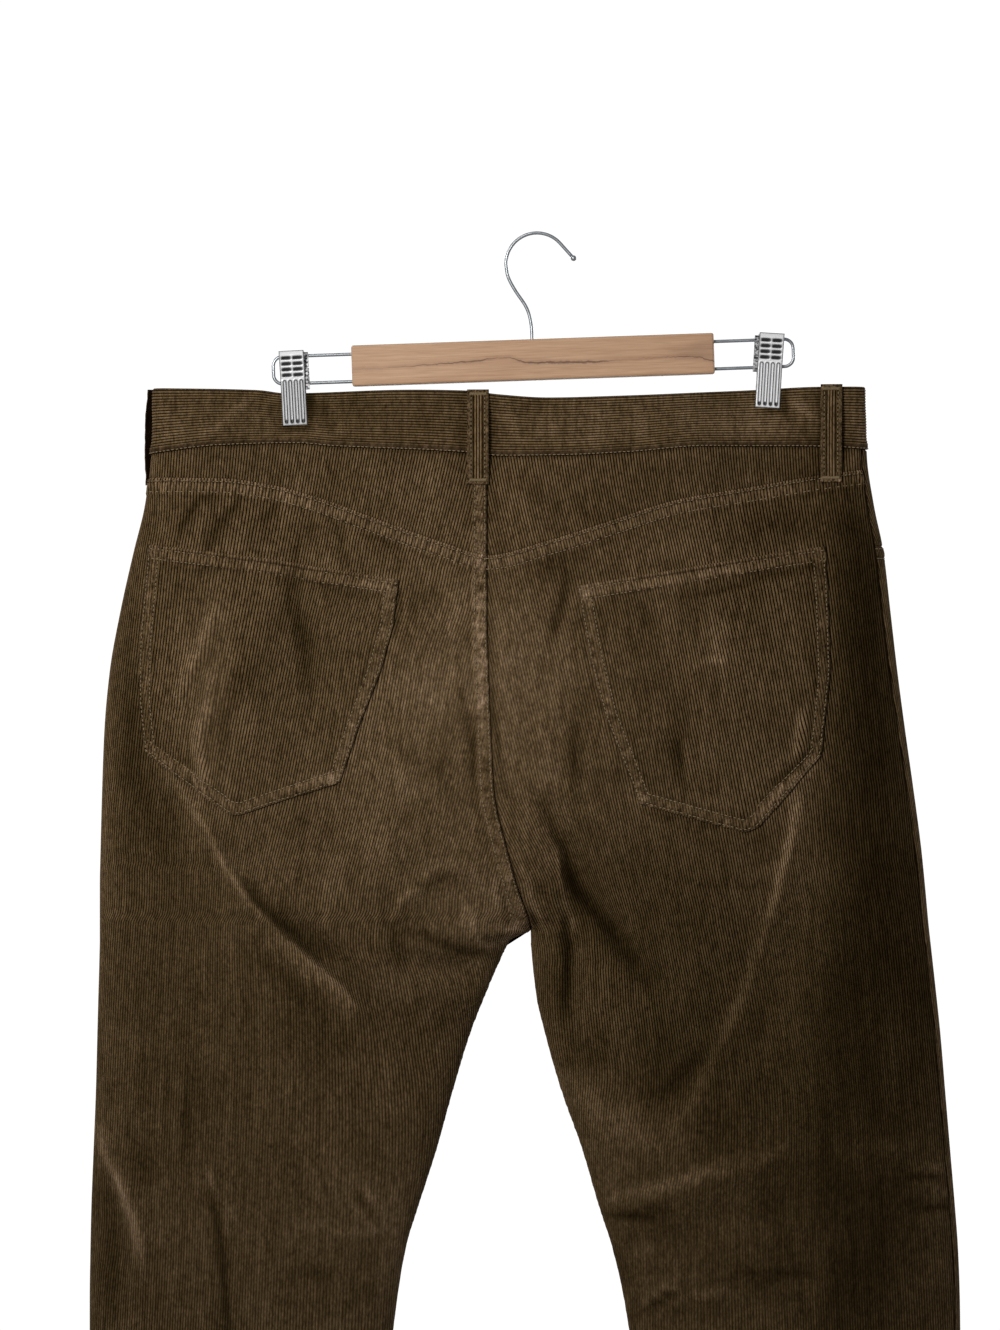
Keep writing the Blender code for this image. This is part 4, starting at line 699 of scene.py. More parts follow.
class Cloth:
    """Collects one piece's points and faces, and what its material reads at each point."""
    OUTER, INNER, RIM = 0, 1, 2

    def __init__(self, name):
        self.name, self.count = name, 0
        self.points, self.share, self.row, self.faces, self.kinds = [], [], [], [], []
        self.looks = {label: [] for label in ("pile", "tone", "seam", "along", "beside", "bloom")}

    def add_points(self, points, share, row, pile=0.5, tone=1.0, seam=0.0, along=0.0, beside=0.0, bloom=0.0):
        """Adds points in millimetres and returns their indices in the shape they came in."""
        points = np.asarray(points)
        shape = points.shape[:-1]
        size = int(np.prod(shape))
        self.points.append(points.reshape(-1, 3))
        stores = [self.share, self.row] + list(self.looks.values())
        for store, value in zip(stores, (share, row, pile, tone, seam, along, beside, bloom)):
            store.append(np.broadcast_to(value, shape).reshape(-1))
        index = np.arange(self.count, self.count + size).reshape(shape)
        self.count += size
        return index

    def add_grid(self, index, kind):
        """Faces between the rows of a grid of indices. Corners that share a point make a triangle."""
        a, b = index[:-1, :-1].ravel(), index[:-1, 1:].ravel()
        d, c = index[1:, :-1].ravel(), index[1:, 1:].ravel()
        whole = (a != b) & (c != d)
        top = (a == b) & (c != d)
        foot = (a != b) & (c == d)
        made = np.stack([a, b, c, d], 1)[whole].tolist()
        made += np.stack([a, c, d], 1)[top].tolist()
        made += np.stack([a, b, c], 1)[foot].tolist()
        self.faces += made
        self.kinds += [kind] * len(made)

    def add_strip(self, first, first_share, second, second_share):
        """A rim between two rows of points that need not be as many."""
        i = j = 0
        while i < len(first) - 1 or j < len(second) - 1:
            if j == len(second) - 1 or (i < len(first) - 1 and first_share[i + 1] <= second_share[j + 1]):
                if first[i] != first[i + 1]:
                    self.faces.append([first[i], first[i + 1], second[j]])
                    self.kinds.append(self.RIM)
                i += 1
            else:
                self.faces.append([first[i], second[j + 1], second[j]])
                self.kinds.append(self.RIM)
                j += 1

    def close(self, outer, inner):
        """Joins the four edges of the outer grid of indices to those of the inner one."""
        share = np.concatenate(self.share)
        row = np.concatenate(self.row)
        for edge in (np.s_[0], np.s_[-1]):
            self.add_strip(outer[edge], share[outer[edge]], inner[edge], share[inner[edge]])
        for edge in (np.s_[:, 0], np.s_[:, -1]):
            self.add_strip(outer[edge], row[outer[edge]], inner[edge], row[inner[edge]])

    def build(self, material, replaces, slot="cloth"):
        share, row = np.concatenate(self.share), np.concatenate(self.row)
        mesh = bpy.data.meshes.new(self.name)
        mesh.from_pydata((np.vstack(self.points) * MM).tolist(), [], self.faces)
        for label, values in self.looks.items():
            values = np.concatenate(values).astype(np.float32)
            mesh.attributes.new(label, "FLOAT", "POINT").data.foreach_set("value", values)
        kinds = np.repeat(np.array(self.kinds), [len(face) for face in self.faces])
        corners = np.concatenate([np.array(face) for face in self.faces])
        across, down = share[corners], row[corners]
        foot = UV_BAND + UV_GAP
        up = np.where(kinds == self.OUTER, foot + (1 - foot) * (1 - down), UV_BAND / 2)
        up = np.where(kinds == self.INNER, UV_BAND * (1 - down), up)
        layer = mesh.uv_layers.new(name="OFBake")
        layer.data.foreach_set("uv", np.stack([across, up], 1).astype(np.float32).ravel())
        face_up(mesh)
        return add_piece(mesh, material, replaces)


def add_piece(mesh, material, replaces=None):
    """Puts a mesh in the scene as a part of the garment or of its hanger."""
    mesh.shade_smooth()
    mesh.materials.append(material)
    obj = link(bpy.data.objects.new(mesh.name, mesh))
    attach(obj, "root")
    if replaces:
        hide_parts(replaces)
    return obj


def plain_mesh(name, points, faces, material, replaces):
    """A closed mesh from points in millimetres."""
    mesh = bpy.data.meshes.new(name)
    mesh.from_pydata((np.asarray(points) * MM).tolist(), [], faces)
    face_up(mesh)
    return add_piece(mesh, material, replaces)


def ring_faces(rings, sides, start=0):
    """Faces between rings of points that follow one another, from the first to the last."""
    return [(k + s, k + s + sides, k + (s + 1) % sides + sides, k + (s + 1) % sides)
            for k in range(start, start + (rings - 1) * sides, sides) for s in range(sides)]


def face_up(mesh):
    """Turns a closed mesh's faces outwards."""
    bm = bmesh.new()
    bm.from_mesh(mesh)
    bmesh.ops.recalc_face_normals(bm, faces=bm.faces)
    bm.to_mesh(mesh)
    bm.free()


def grid_normals(points, outward):
    """Unit normals of a grid of points, turned to the side that most of them share with outward."""
    normal = np.cross(np.gradient(points, axis=1), np.gradient(points, axis=0))
    normal /= np.maximum(np.linalg.norm(normal, axis=-1, keepdims=True), 1e-9)
    return normal * (1 if (normal * outward).sum(-1).mean() > 0 else -1)


def girth(points):
    """Distance round the section of each row of a grid of points."""
    step = np.hypot(np.diff(points[..., 0], axis=1), np.diff(points[..., 1], axis=1))
    return np.concatenate([np.zeros((len(points), 1)), np.cumsum(step, axis=1)], axis=1)


def rows_of_cloth(half, face, q, drops):
    """The points, normals and distance round the section of a grid of signed q and drops."""
    points = signed_point(half, q, drops)
    normals = grid_normals(points, np.array([0.0, OUTWARD[face], 0.0]))
    across = girth(points)
    on_main = (q >= 0) if face == "back" else (q < 0)
    for i in range(len(q)):
        x = np.where(on_main[i], points[i, :, 0], np.nan)
        keep = ~np.isnan(x)
        order = np.argsort(x[keep])
        across[i] -= np.interp(REFERENCE_X[half], x[keep][order], across[i][keep][order])
    return {"half": half, "face": face, "q": q, "drops": drops, "points": points, "normals": normals,
            "across": across}


def lean_slope(half, face, x, drop):
    """How far a wale moves in x for each millimetre down."""
    fold, inner = body(half + "_fold", drop), inner_edge(half, face, drop)
    share = np.clip((x - fold) / (inner - fold), 0, 1)
    leans = [table_value(LEAN_COLUMNS, LEAN_ROWS[half, face], name, drop) for name in LEAN_COLUMNS[1:]]
    lean = leans[0] + (leans[1] - leans[0]) * smoothstep(*LEAN_PLACES[:2], share)
    return -np.tan(np.radians(lean + (leans[2] - leans[1]) * smoothstep(*LEAN_PLACES[1:], share)))


def lay_wales(base, reference_row):
    """Where each wale's columns cross each row, traced up and down from one row."""
    across, drops, x = base["across"], base["drops"], base["points"][..., 0]
    half, face = base["half"], base["face"]
    sense = 1.0 if half == "left" else -1.0
    first = int((across.min() - WALE_MARGIN) // PITCH)
    last = int((across.max() + WALE_MARGIN) // PITCH)
    wale = np.repeat(np.arange(first, last), len(WALE_COLUMNS))
    part = np.tile(np.arange(len(WALE_COLUMNS)), last - first)
    shares = np.array([column[0] for column in WALE_COLUMNS])
    lines = np.empty((len(across), len(wale)))
    lines[reference_row] = (wale + shares[part]) * PITCH

    def read(values, row):
        return np.interp(lines[row], across[row], values[row])

    for step, rows in ((1, range(reference_row, len(across) - 1)), (-1, range(reference_row, 0, -1))):
        for row in rows:
            drop = read(drops, row)
            slope = lean_slope(half, face, read(x, row), drop)
            lines[row + step] = lines[row]
            fall = np.interp(lines[row], across[row + step], drops[row + step]) - drop
            lines[row + step] = lines[row] + sense * slope * fall
    return lines, wale, part


def wale_tones(wale):
    """Each wale's own shade: pile wears in long streaks, a few wales wide."""
    rng = np.random.default_rng(WALE_SEED)
    own = rng.normal(0, 1, WALE_SHADES)
    wide = np.ones(STREAK_WALES) / math.sqrt(STREAK_WALES)
    wide = np.convolve(rng.normal(0, 1, WALE_SHADES), wide, "same")
    return OWN_SHADE * own[wale % WALE_SHADES] + STREAK_SHADE * wide[wale % WALE_SHADES]


def wale_rows(start, first, count, end):
    """The places, lifts and shown pile of a strip's rows: its wales, between plain rows (place, pile)."""
    wales = [(first + (k + share) * PITCH, lift, pile)
             for k in range(count) for share, lift, pile in WALE_COLUMNS]
    start, end = [[(place, 0.0, pile) for place, pile in rows] for rows in (start, end)]
    return np.array(start + wales + end).T


# ---------------------------------------------------------------- shade of the cloth
# Painted light and wear (+) and painted shade (-): amount, reach across and down, and the x and drop of the
# middle.
SPOT_ROWS = {
    "back": (
        # paler seat, pocket edges and crotch: worn pile and painted light
        (0.1, 70, 80, -20, 300), (0.28, 20, 22, -75, 292), (0.24, 16, 20, -17, 274), (0.18, 6, 12, 15, 282),
        (0.2, 14, 14, -180, 410), (0.14, 16, 20, 6, 312), (0.12, 24, 40, -205, 290),
        (0.2, 12, 26, -232, 262), (0.22, 12, 14, 105, 312), (0.22, 9, 18, 163, 316),
        (0.14, 14, 20, 84, 268), (0.34, 42, 14, -50, 438), (0.22, 7, 12, -6, 430), (0.22, 46, 14, -40, 468),
        (0.2, 16, 24, -128, 610), (0.24, 12, 40, -88, 640),
        # painted shade between and beside them
        (-0.45, 14, 12, -72, 234), (-0.6, 14, 10, 10, 213), (-0.35, 10, 8, 30, 208),
        (-0.25, 16, 6, 50, 214), (-0.55, 30, 13, 160, 188), (-0.2, 30, 24, 105, 396),
        (-0.45, 13, 14, 34, 524), (-0.35, 22, 24, 118, 576), (-0.45, 11, 22, 148, 614),
        (-0.3, 20, 14, 143, 672), (-0.3, 24, 30, 214, 664), (-0.3, 14, 18, -133, 515),
        (-0.45, 14, 12, 142, 387), (-0.28, 9, 16, 152, 408), (-0.3, 20, 14, -250, 592),
        (-0.3, 10, 24, -271, 666), (-0.4, 22, 46, -240, 386), (-0.6, 9, 90, -260, 320),
        (-0.3, 52, 15, -205, 182), (-0.28, 10, 14, -203, 388), (0.2, 12, 24, -97, 520),
        (0.22, 26, 14, -88, 476), (-0.16, 24, 30, -124, 585), (-0.3, 6, 16, -252, 543),
        (-0.26, 18, 10, 0, 362), (-0.3, 10, 9, 30, 386), (0.26, 8, 10, 9, 400), (-0.26, 12, 9, 34, 222),
        (-0.26, 18, 9, 136, 204), (-0.3, 14, 8, 178, 158), (-0.22, 8, 16, -69, 120),
        (-0.12, 60, 90, 60, 270),
        # painted light and shade down the sides, painted shadows beside the clips, and finer places all over
        (0.3, 8, 60, -279, 480), (-0.72, 24, 250, 206, 352), (-0.3, 26, 330, 250, 600),
        (0.08, 14, 120, 262, 560), (0.42, 16, 80, 208, 560), (0.45, 24, 11, 222, 584),
        (0.3, 9, 26, 226, 534), (0.35, 4, 40, 214, 165), (0.5, 10, 10, 203, 149), (0.45, 8, 45, 210, 138),
        (-0.18, 40, 22, 135, 182), (-0.16, 24, 60, -262, 230), (0.28, 36, 3.5, -98, 226),
        (0.4, 10, 18, 12, 548), (-0.22, 34, 22, 72, 544), (-0.2, 14, 70, 188, 495),
        (0.34, 18, 16, 192, 640), (0.28, 10, 30, -94, 665), (-0.45, 8, 9, -168, 112),
        (-0.5, 9, 10, -143, 112), (-0.2, 22, 10, -118, 115), (-1.5, 2.2, 13, -146.2, 110),
        (-1.2, 10, 1.8, -156, 124.8), (-0.9, 2.2, 12, 159.2, 104), (-0.8, 10, 1.6, 150, 113.6),
        (0.2, 30, 60, 222, 480), (0.5, 7, 40, 216, 130), (-0.25, 40, 200, 190, 640),
        (-0.2, 34, 90, 140, 560), (-0.2, 90, 150, -180, 620), (-0.2, 70, 60, 120, 660),
        (-0.34, 600, 66, 0, 488), (-0.14, 70, 60, -240, 480), (-0.1, 500, 200, 0, 680),
        (-0.36, 50, 16, 170, 148), (-0.22, 40, 36, 74, 418), (-0.18, 34, 26, 60, 392),
        (-0.15, 30, 40, 44, 340), (-0.22, 70, 180, 110, 560), (0.75, 13, 3.6, -13, 445.5),
        (-0.35, 20, 5, -65, 437), (-0.2, 28, 16, 165, 182), (-0.18, 38, 16, 85, 152),
        (-0.16, 24, 14, 48, 184), (-0.14, 50, 15, -190, 204), (-0.26, 32, 12, -150, 377),
        (-0.2, 24, 36, -236, 418), (-0.3, 18, 26, 20, 412), (-0.26, 26, 24, 94, 432),
        (-0.22, 14, 12, 46, 456), (-0.28, 10, 22, 12, 480), (-0.22, 14, 12, 28, 530),
        (0.36, 13, 36, 228, 512), (0.2, 10, 40, 203, 590), (-0.26, 26, 18, 140, 550),
        (-0.22, 12, 10, 150, 625), (0.36, 11, 26, 176, 672), (-0.2, 10, 12, 226, 626),
        (-0.2, 28, 24, -210, 546), (0.16, 28, 14, -190, 636), (0.2, 40, 10, -130, 703),
        (0.22, 24, 10, 92, 702), (-0.26, 10, 14, 52, 660), (0.18, 18, 46, -194, 334),
        (0.18, 10, 10, -150, 328), (0.2, 13, 18, 122, 362), (0.15, 24, 28, -62, 300),
        (0.2, 30, 16, 140, 122), (0.25, 9, 20, 206, 124), (0.25, 14, 12, -246, 122),
        # the waistband
        (-0.12, 22, 12, -100, 118), (-0.15, 16, 10, -74, 120), (-0.16, 16, 10, -46, 128),
        (0.14, 90, 18, 90, 119), (-0.2, 20, 16, -240, 116),
    ),
    "front": ((0.2, 80, 120, -150, 520), (0.2, 80, 120, 150, 520)),
}
MOST_BLOOM = 0.75
# Places whose pile is worn down, so that its wales show less, in the same columns.
BLOOM_ROWS = {
    "back": (
        (0.62, 78, 90, -30, 306), (0.5, 14, 60, -208, 290), (0.35, 40, 40, -50, 440),
        (0.3, 110, 110, -190, 500), (0.5, 330, 90, 0, 640), (-0.4, 40, 45, 80, 465),
        (-0.25, 60, 30, 110, 192), (0.6, 400, 400, 0, 1000),
    ),
    "front": ((0.6, 400, 400, 0, 1000),),
}


def spots(rows, x, drop):
    total = np.zeros(x.shape)
    for amount, reach_x, reach_drop, middle_x, middle_drop in rows:
        far = ((x - middle_x) / reach_x) ** 2 + ((drop - middle_drop) / reach_drop) ** 2
        total = total + amount * np.exp(-far)
    return total


def cloth_shade(face, x, drop):
    """The painted light and shade of folds, creases and places, with some wear, as a factor on the cloth's
    colour.
    """
    return np.exp(fold_relief(face, x, drop, True) + spots(SPOT_ROWS[face], x, drop))


def cloth_bloom(face, x, drop):
    """How far wear has evened the wales."""
    return np.clip(spots(BLOOM_ROWS[face], x, drop), 0, MOST_BLOOM)


# ---------------------------------------------------------------- cloth pieces
SNAP = 0.3                      # a wale's column nearer than this to an edge runs into it
PRESSED = 0.75                  # share of a wale's height that a stitch row takes away
CRUSHED = 0.5                   # that crushing takes away
BLOOM_FLATTENS = 0.5            # and that even wear takes away
PILE_PRESSED = 0.35             # share of the pile that a stitch row hides
EDGE_PILE = 0.4
GAPE_REACH = 12.0
SPAN_FADE = 12.0
INNER_TONE = 0.8
INNER_COLUMNS = 80


def along_rows(base, name, places):
    """A base surface's values at other places across each row."""
    grid = base[name]
    flat = grid.reshape(*grid.shape[:2], -1)
    out = np.stack([at_places(*row) for row in zip(places, base["across"], flat)])
    return out.reshape(places.shape + grid.shape[2:])


def add_slopes(base):
    """How much longer a base surface's four edges are than their runs down or across."""
    across, drops = base["across"], base["drops"]
    base["columns"] = np.broadcast_to(np.arange(across.shape[1], dtype=float), across.shape)
    base["slopes"] = {
        "outer": np.hypot(1, np.gradient(across[:, 0], drops[:, 0])),
        "inner": np.hypot(1, np.gradient(across[:, -1], drops[:, -1])),
        "top": np.hypot(1, np.gradient(drops[0], across[0])),
        "foot": np.hypot(1, np.gradient(drops[-1], across[-1])),
    }


def edge_distance(base, side, places, drops, columns):
    """Distance of points from one edge of a base surface, and how far along it they are."""
    slope = base["slopes"][side]
    if side == "outer":
        return (places - base["across"][:, :1]) / slope[:, None], drops
    if side == "inner":
        return (base["across"][:, -1:] - places) / slope[:, None], drops
    count = np.arange(len(slope))
    line = np.interp(columns, count, base["drops"][0 if side == "top" else -1])
    run = np.interp(columns, count, slope)
    return np.abs(drops - line) / run, places


def span_weight(span, drop):
    """1 where a seam runs, fading past the drops between which it does."""
    if span is None:
        return 1.0
    low, high = span
    return smoothstep(low - SPAN_FADE, low, drop) * (1 - smoothstep(high, high + SPAN_FADE, drop))


def height_share(drops, whole):
    """0 at the highest point of the whole, 1 at its lowest."""
    top, foot = whole.min(), whole.max()
    return (drops - top) / (foot - top)


def lay_cloth(piece, base, seams, reference_row, gape=0.0):
    """The outer face of a piece: its wales, traced from one row, and its sewn edges.

    A seam is (side, form, span of drops or None, seed). Returns the grid of indices.
    """
    add_slopes(base)
    lines, wale, part = lay_wales(base, reference_row)
    low, high = base["across"][:, :1] + EDGE, base["across"][:, -1:] - EDGE
    inside = (lines > low + SNAP) & (lines < high - SNAP)
    used = np.flatnonzero(inside.any(axis=0))
    keep = np.s_[used[0]:used[-1] + 1]
    lines, wale, part, inside = lines[:, keep], wale[keep], part[keep], inside[:, keep]
    middle = (low + high) / 2
    places = np.where(inside, lines, np.where(lines < middle, low, high))
    places = np.concatenate([low, places, high], axis=1)
    at_low = np.concatenate([low, np.where(inside, np.inf, lines), high], axis=1) < middle
    at_high = np.concatenate([low, np.where(inside, -np.inf, lines), high], axis=1) >= middle
    at_low[:, 0], at_high[:, -1] = True, True
    drops, columns, points, normals = [along_rows(base, name, places)
                                       for name in ("drops", "columns", "points", "normals")]
    normals = unit(normals)
    lift, press, crush, pale, along, beside = [np.zeros(places.shape) for _ in range(6)]
    nearest = np.full(places.shape, 1e9)
    for side, form, span, seed in seams:
        distance, run = edge_distance(base, side, places, drops, columns)
        weight = span_weight(span, drops)
        rise, pressed, crushed, paler = seam_lift(form, distance, run, seed)
        lift += rise * weight
        press = np.maximum(press, pressed * weight)
        crush = np.maximum(crush, crushed * weight)
        pale += paler * weight
        closer = distance < nearest
        nearest = np.where(closer, distance, nearest)
        along = np.where(closer, run, along)
        beside = np.where(closer, distance, beside)
    share = columns / (base["across"].shape[1] - 1)
    if gape:
        distance, _ = edge_distance(base, "top", places, drops, columns)
        lift += gape * np.exp(-(distance / GAPE_REACH) ** 2) * np.sin(np.pi * share) ** 2
    _, raised, crown_share = np.array(WALE_COLUMNS)[part].T
    raised = np.concatenate([[0.0], raised, [0.0]])
    crown_share = np.concatenate([[EDGE_PILE], crown_share, [EDGE_PILE]])
    shade = np.concatenate([[0.0], wale_tones(wale), [0.0]])
    bloom = cloth_bloom(base["face"], points[..., 0], drops)
    lift = lift + raised * (1 - PRESSED * press) * (1 - CRUSHED * crush) * (1 - BLOOM_FLATTENS * bloom)
    # cloth_shade paints light and shade into the tone; pale adds each seam's paler band and its painted shade
    tone = cloth_shade(base["face"], points[..., 0], drops) * (1 + shade) * base.get("tone", 1.0)
    points = points + normals * lift[..., None]
    row = height_share(drops, base["drops"])
    tone = tone * (1 + pale)
    own = ~(at_low | at_high)
    own[:, 0], own[:, -1] = True, True
    pile = np.broadcast_to(crown_share, places.shape) * (1 - PILE_PRESSED * press)
    index = np.zeros(places.shape, int)
    looks = [values[own] for values in (share, row, pile, tone, crush, along, beside, bloom)]
    index[own] = piece.add_points(points[own], *looks)
    index = np.where(at_low, index[:, :1], index)
    index = np.where(at_high, index[:, -1:], index)
    piece.add_grid(index, Cloth.OUTER)
    return index


def add_inner(piece, base, surface, outer):
    """The wrong side of a piece, and the rims that join it to the right side."""
    count = base["across"].shape[1]
    picked = np.unique(np.linspace(0, count - 1, INNER_COLUMNS).astype(int))
    points = surface(picked)
    for edge, near in ((np.s_[:, 0], np.s_[:, 1]), (np.s_[:, -1], np.s_[:, -2])):
        along = points[near] - points[edge]
        points[edge] += along * EDGE / np.linalg.norm(along, axis=-1, keepdims=True)
    drops = base["drops"][:, picked]
    share = np.broadcast_to(picked / (count - 1), drops.shape)
    tone = INNER_TONE * base.get("tone", 1.0)
    index = piece.add_points(points, share, height_share(drops, drops), tone=tone)
    piece.add_grid(index, Cloth.INNER)
    piece.close(outer, index)


def wrong_side(base):
    """The inner surface of a panel, at given columns."""
    return lambda at: signed_point(base["half"], base["q"][:, at], base["drops"][:, at], CLOTH)


def panel_q(half, face, share, drops):
    """Signed q at a share of the way from a panel's side seam to its inner edge."""
    seam = side_seam_q(half, drops)
    return seam + (-OUTWARD[face] - seam) * share


def band_bottom_drop(q, x):
    return np.where(q >= 0, line_drop(BAND_BOTTOM["back"], x), line_drop(BAND_BOTTOM["front"], x))


def scoop_start_x(half):
    """x where a front pocket's opening leaves the waistband."""
    q = SCOOP_START[half]
    level = line_drop(BAND_BOTTOM["front"], -120.0 if half == "left" else 110.0)
    return float(signed_point(half, q, level)[0])


def panel_top(half, face, q, x):
    """The drop of a leg panel's top edge: the yoke seam behind, the waistband and scoop in front."""
    if face == "back":
        return np.where(q >= 0, line_drop(YOKE_SEAM, x), YOKE_SEAM[0][1])
    start = scoop_start_x(half)
    return band_bottom_drop(q, x) + SCOOP_DEPTH * quarter_round((x - start) / (x[0] - start))


TOP_STEPS = (0, 1.2, 2.4, 4, 6, 8, 9.6, 11, 13, 16, 20, 25, 31, 38)
ROW_STEP = {"back": 5.0, "front": 9.0}
LEG_STEP = {"back": 15.0, "front": 18.0}
FINE_UNTIL = 704.0
CREASED = (396.0, 472.0)        # rows stand closer under the crotch
CREASED_STEP = 2.5
LEAST_STEP = 0.7
FITS = 4                        # rounds in which a top edge settles on the surface
WALES_FROM = 320                # the drop at which a panel's wales are evenly spaced
HEM_STEPS = (40, 32, 29, 27.4, 26, 24.6, 22, 15, 8, 3, 1.2, 0)


def panel_levels(face):
    fine = np.arange(TOP_LEVEL + 44, FINE_UNTIL, ROW_STEP[face])
    if face == "back":
        fine = np.concatenate([fine, np.arange(*CREASED, CREASED_STEP)])
    coarse = np.arange(FINE_UNTIL, HEM_DROP - 45, LEG_STEP[face])
    crotch = (CROTCH_DROP, CROTCH_DROP + 2.0)
    levels = np.unique(np.concatenate([np.add(TOP_LEVEL, TOP_STEPS), fine, crotch, coarse,
                                       np.subtract(HEM_DROP, HEM_STEPS)]))
    return levels[np.append(True, np.diff(levels) > LEAST_STEP)]


def panel_base(half, face):
    levels = panel_levels(face)
    share = np.linspace(0, 1, SAMPLES)
    top = np.full(SAMPLES, TOP_LEVEL)
    for _ in range(FITS):
        q = panel_q(half, face, share, top)
        top = panel_top(half, face, q, signed_point(half, q, top)[..., 0])
    fade = 1 - smoothstep(TOP_LEVEL, TOP_LEVEL + TOP_LINE_REACH, levels)
    drops = levels[:, None] + (top - TOP_LEVEL)[None, :] * fade[:, None]
    return rows_of_cloth(half, face, panel_q(half, face, share, drops), drops)


RISE_SPAN = (100.0, CROTCH_DROP - 8)
LEG_SPAN = (CROTCH_DROP + 8, 1300.0)
PANEL_SEAMS = {
    ("left", "back"): (("top", "felled", None, 1.3), ("inner", "centre", RISE_SPAN, 2.1),
                       ("inner", "plain", LEG_SPAN, 0.4), ("outer", "plain", None, 3.2),
                       ("foot", "leg_hem", None, 5.0)),
    ("right", "back"): (("top", "felled", None, 4.4), ("inner", "plain", None, 2.9),
                        ("outer", "plain", None, 0.8), ("foot", "leg_hem", None, 1.9)),
    ("left", "front"): (("top", "scoop", None, 2.2), ("inner", "centre", RISE_SPAN, 0.3),
                        ("inner", "plain", LEG_SPAN, 1.4), ("outer", "plain", None, 2.2),
                        ("foot", "leg_hem", None, 3.0)),
    ("right", "front"): (("top", "scoop", None, 5.1), ("inner", "plain", None, 2.0),
                         ("outer", "plain", None, 4.8), ("foot", "leg_hem", None, 0.9)),
}


def leg_panel(half, face, material):
    base = panel_base(half, face)
    piece = Cloth(f"{face}_{half}_cloth")
    reference = int(np.searchsorted(base["drops"][:, SAMPLES // 2], WALES_FROM))
    outer = lay_cloth(piece, base, PANEL_SEAMS[half, face], reference)
    add_inner(piece, base, wrong_side(base), outer)
    return base, piece.build(material, f"{face}_{half}")


YOKE_STEPS = (0, 0.012, 0.03, 0.06)
YOKE_ROWS = 24
FACING_STOP = 0.985             # a facing ends just short of its opening's corner


def upper_piece(name, half, face, below, share, seams, material, tone):
    """A yoke or a pocket facing: the cloth between the waistband and a leg panel's top edge."""
    lower = np.interp(share, np.linspace(0, 1, SAMPLES), below["drops"][0])
    upper = lower
    for _ in range(FITS):
        q = panel_q(half, face, share, upper)
        upper = band_bottom_drop(q, signed_point(half, q, upper)[..., 0])
    steps = np.linspace(YOKE_STEPS[-1], 1 - YOKE_STEPS[-1], YOKE_ROWS)
    steps = np.concatenate([YOKE_STEPS[:-1], steps, 1 - np.array(YOKE_STEPS[:-1])[::-1]])[:, None]
    drops = upper * (1 - steps) + lower * steps
    base = rows_of_cloth(half, face, panel_q(half, face, share, drops), drops)
    base["tone"] = tone
    piece = Cloth(name + "_cloth")
    outer = lay_cloth(piece, base, seams, YOKE_ROWS // 2)
    add_inner(piece, base, wrong_side(base), outer)
    return base, piece.build(material, name)


# ---------------------------------------------------------------- patch pockets and the fly
PATCH_SAMPLES = 240
SIDE_SAMPLES = 400
# Distances of a patch's first rows from its edge, in mm.
PATCH_STEPS = (0.0, 0.6, 1.4, 2.6, 4.2, 6.2, 7.6, 8.8, 10.4)
PATCH_UNDERSIDE = 0.35
PATCH_SIDES = {
    "pocket_back_left": {
        "top": ((-248.5, 199.5), (-170, 210), (-88.7, 222.5)),
        "foot": ((-250.5, 332), (-222, 353.5), (-197, 371.5), (-190, 372.5), (-158, 361.8), (-125.5, 351)),
        "outer": ((-248.5, 199.5), (-254, 262), (-254.2, 300), (-250.5, 332)),
        "inner": ((-88.7, 222.5), (-91.5, 251), (-99.5, 280.5), (-113, 315), (-125.5, 351)),
    },
    "pocket_back_right": {
        "top": ((184.5, 201), (105, 213.6), (25, 226.5)),
        "foot": ((180.5, 335), (160, 358), (140, 380.5), (132, 383.5), (98, 374), (65, 365)),
        "outer": ((184.5, 201), (186, 239), (187, 281), (180.5, 335)),
        "inner": ((25, 226.5), (33.5, 274), (42.5, 309), (65, 365)),
    },
    "fly_facing": {
        "top": ((-36, 149.5), (-18, 150), (1.2, 151)),
        "foot": ((-34.5, 264), (-31, 274), (-22, 283.5), (-10, 289.5), (0.2, 291)),
        "outer": ((-36, 149.5), (-36, 200), (-36, 245), (-34.5, 264)),
        "inner": ((1.2, 151), (0.9, 200), (0.5, 245), (0.2, 291)),
    },
}
POCKET_SEAMS = (("top", "pocket_hem", None, 0.5), ("outer", "pocket_side", None, 1.7),
                ("inner", "pocket_side", None, 3.1), ("foot", "pocket_side", None, 4.2))
FLY_SEAMS = (("top", "turned", None, 0.5), ("outer", "scoop", None, 1.7), ("foot", "scoop", None, 1.7),
             ("inner", "turned", None, 3.0))


def side_points(points, count):
    """Evenly spaced points along straight runs between corners, as (x, drop)."""
    points = np.asarray(points, float)
    length = np.concatenate([[0], np.cumsum(np.hypot(*np.diff(points, axis=0).T))])
    return at_places(np.linspace(0, length[-1], count), length, points)


def eased(points, count):
    """The same with the corners between the runs a little rounded."""
    line = side_points(points, count)
    reach = max(1, count // 60)
    out = line.copy()
    for k in range(reach, count - reach):
        out[k] = line[k - reach:k + reach + 1].mean(0)
    return out


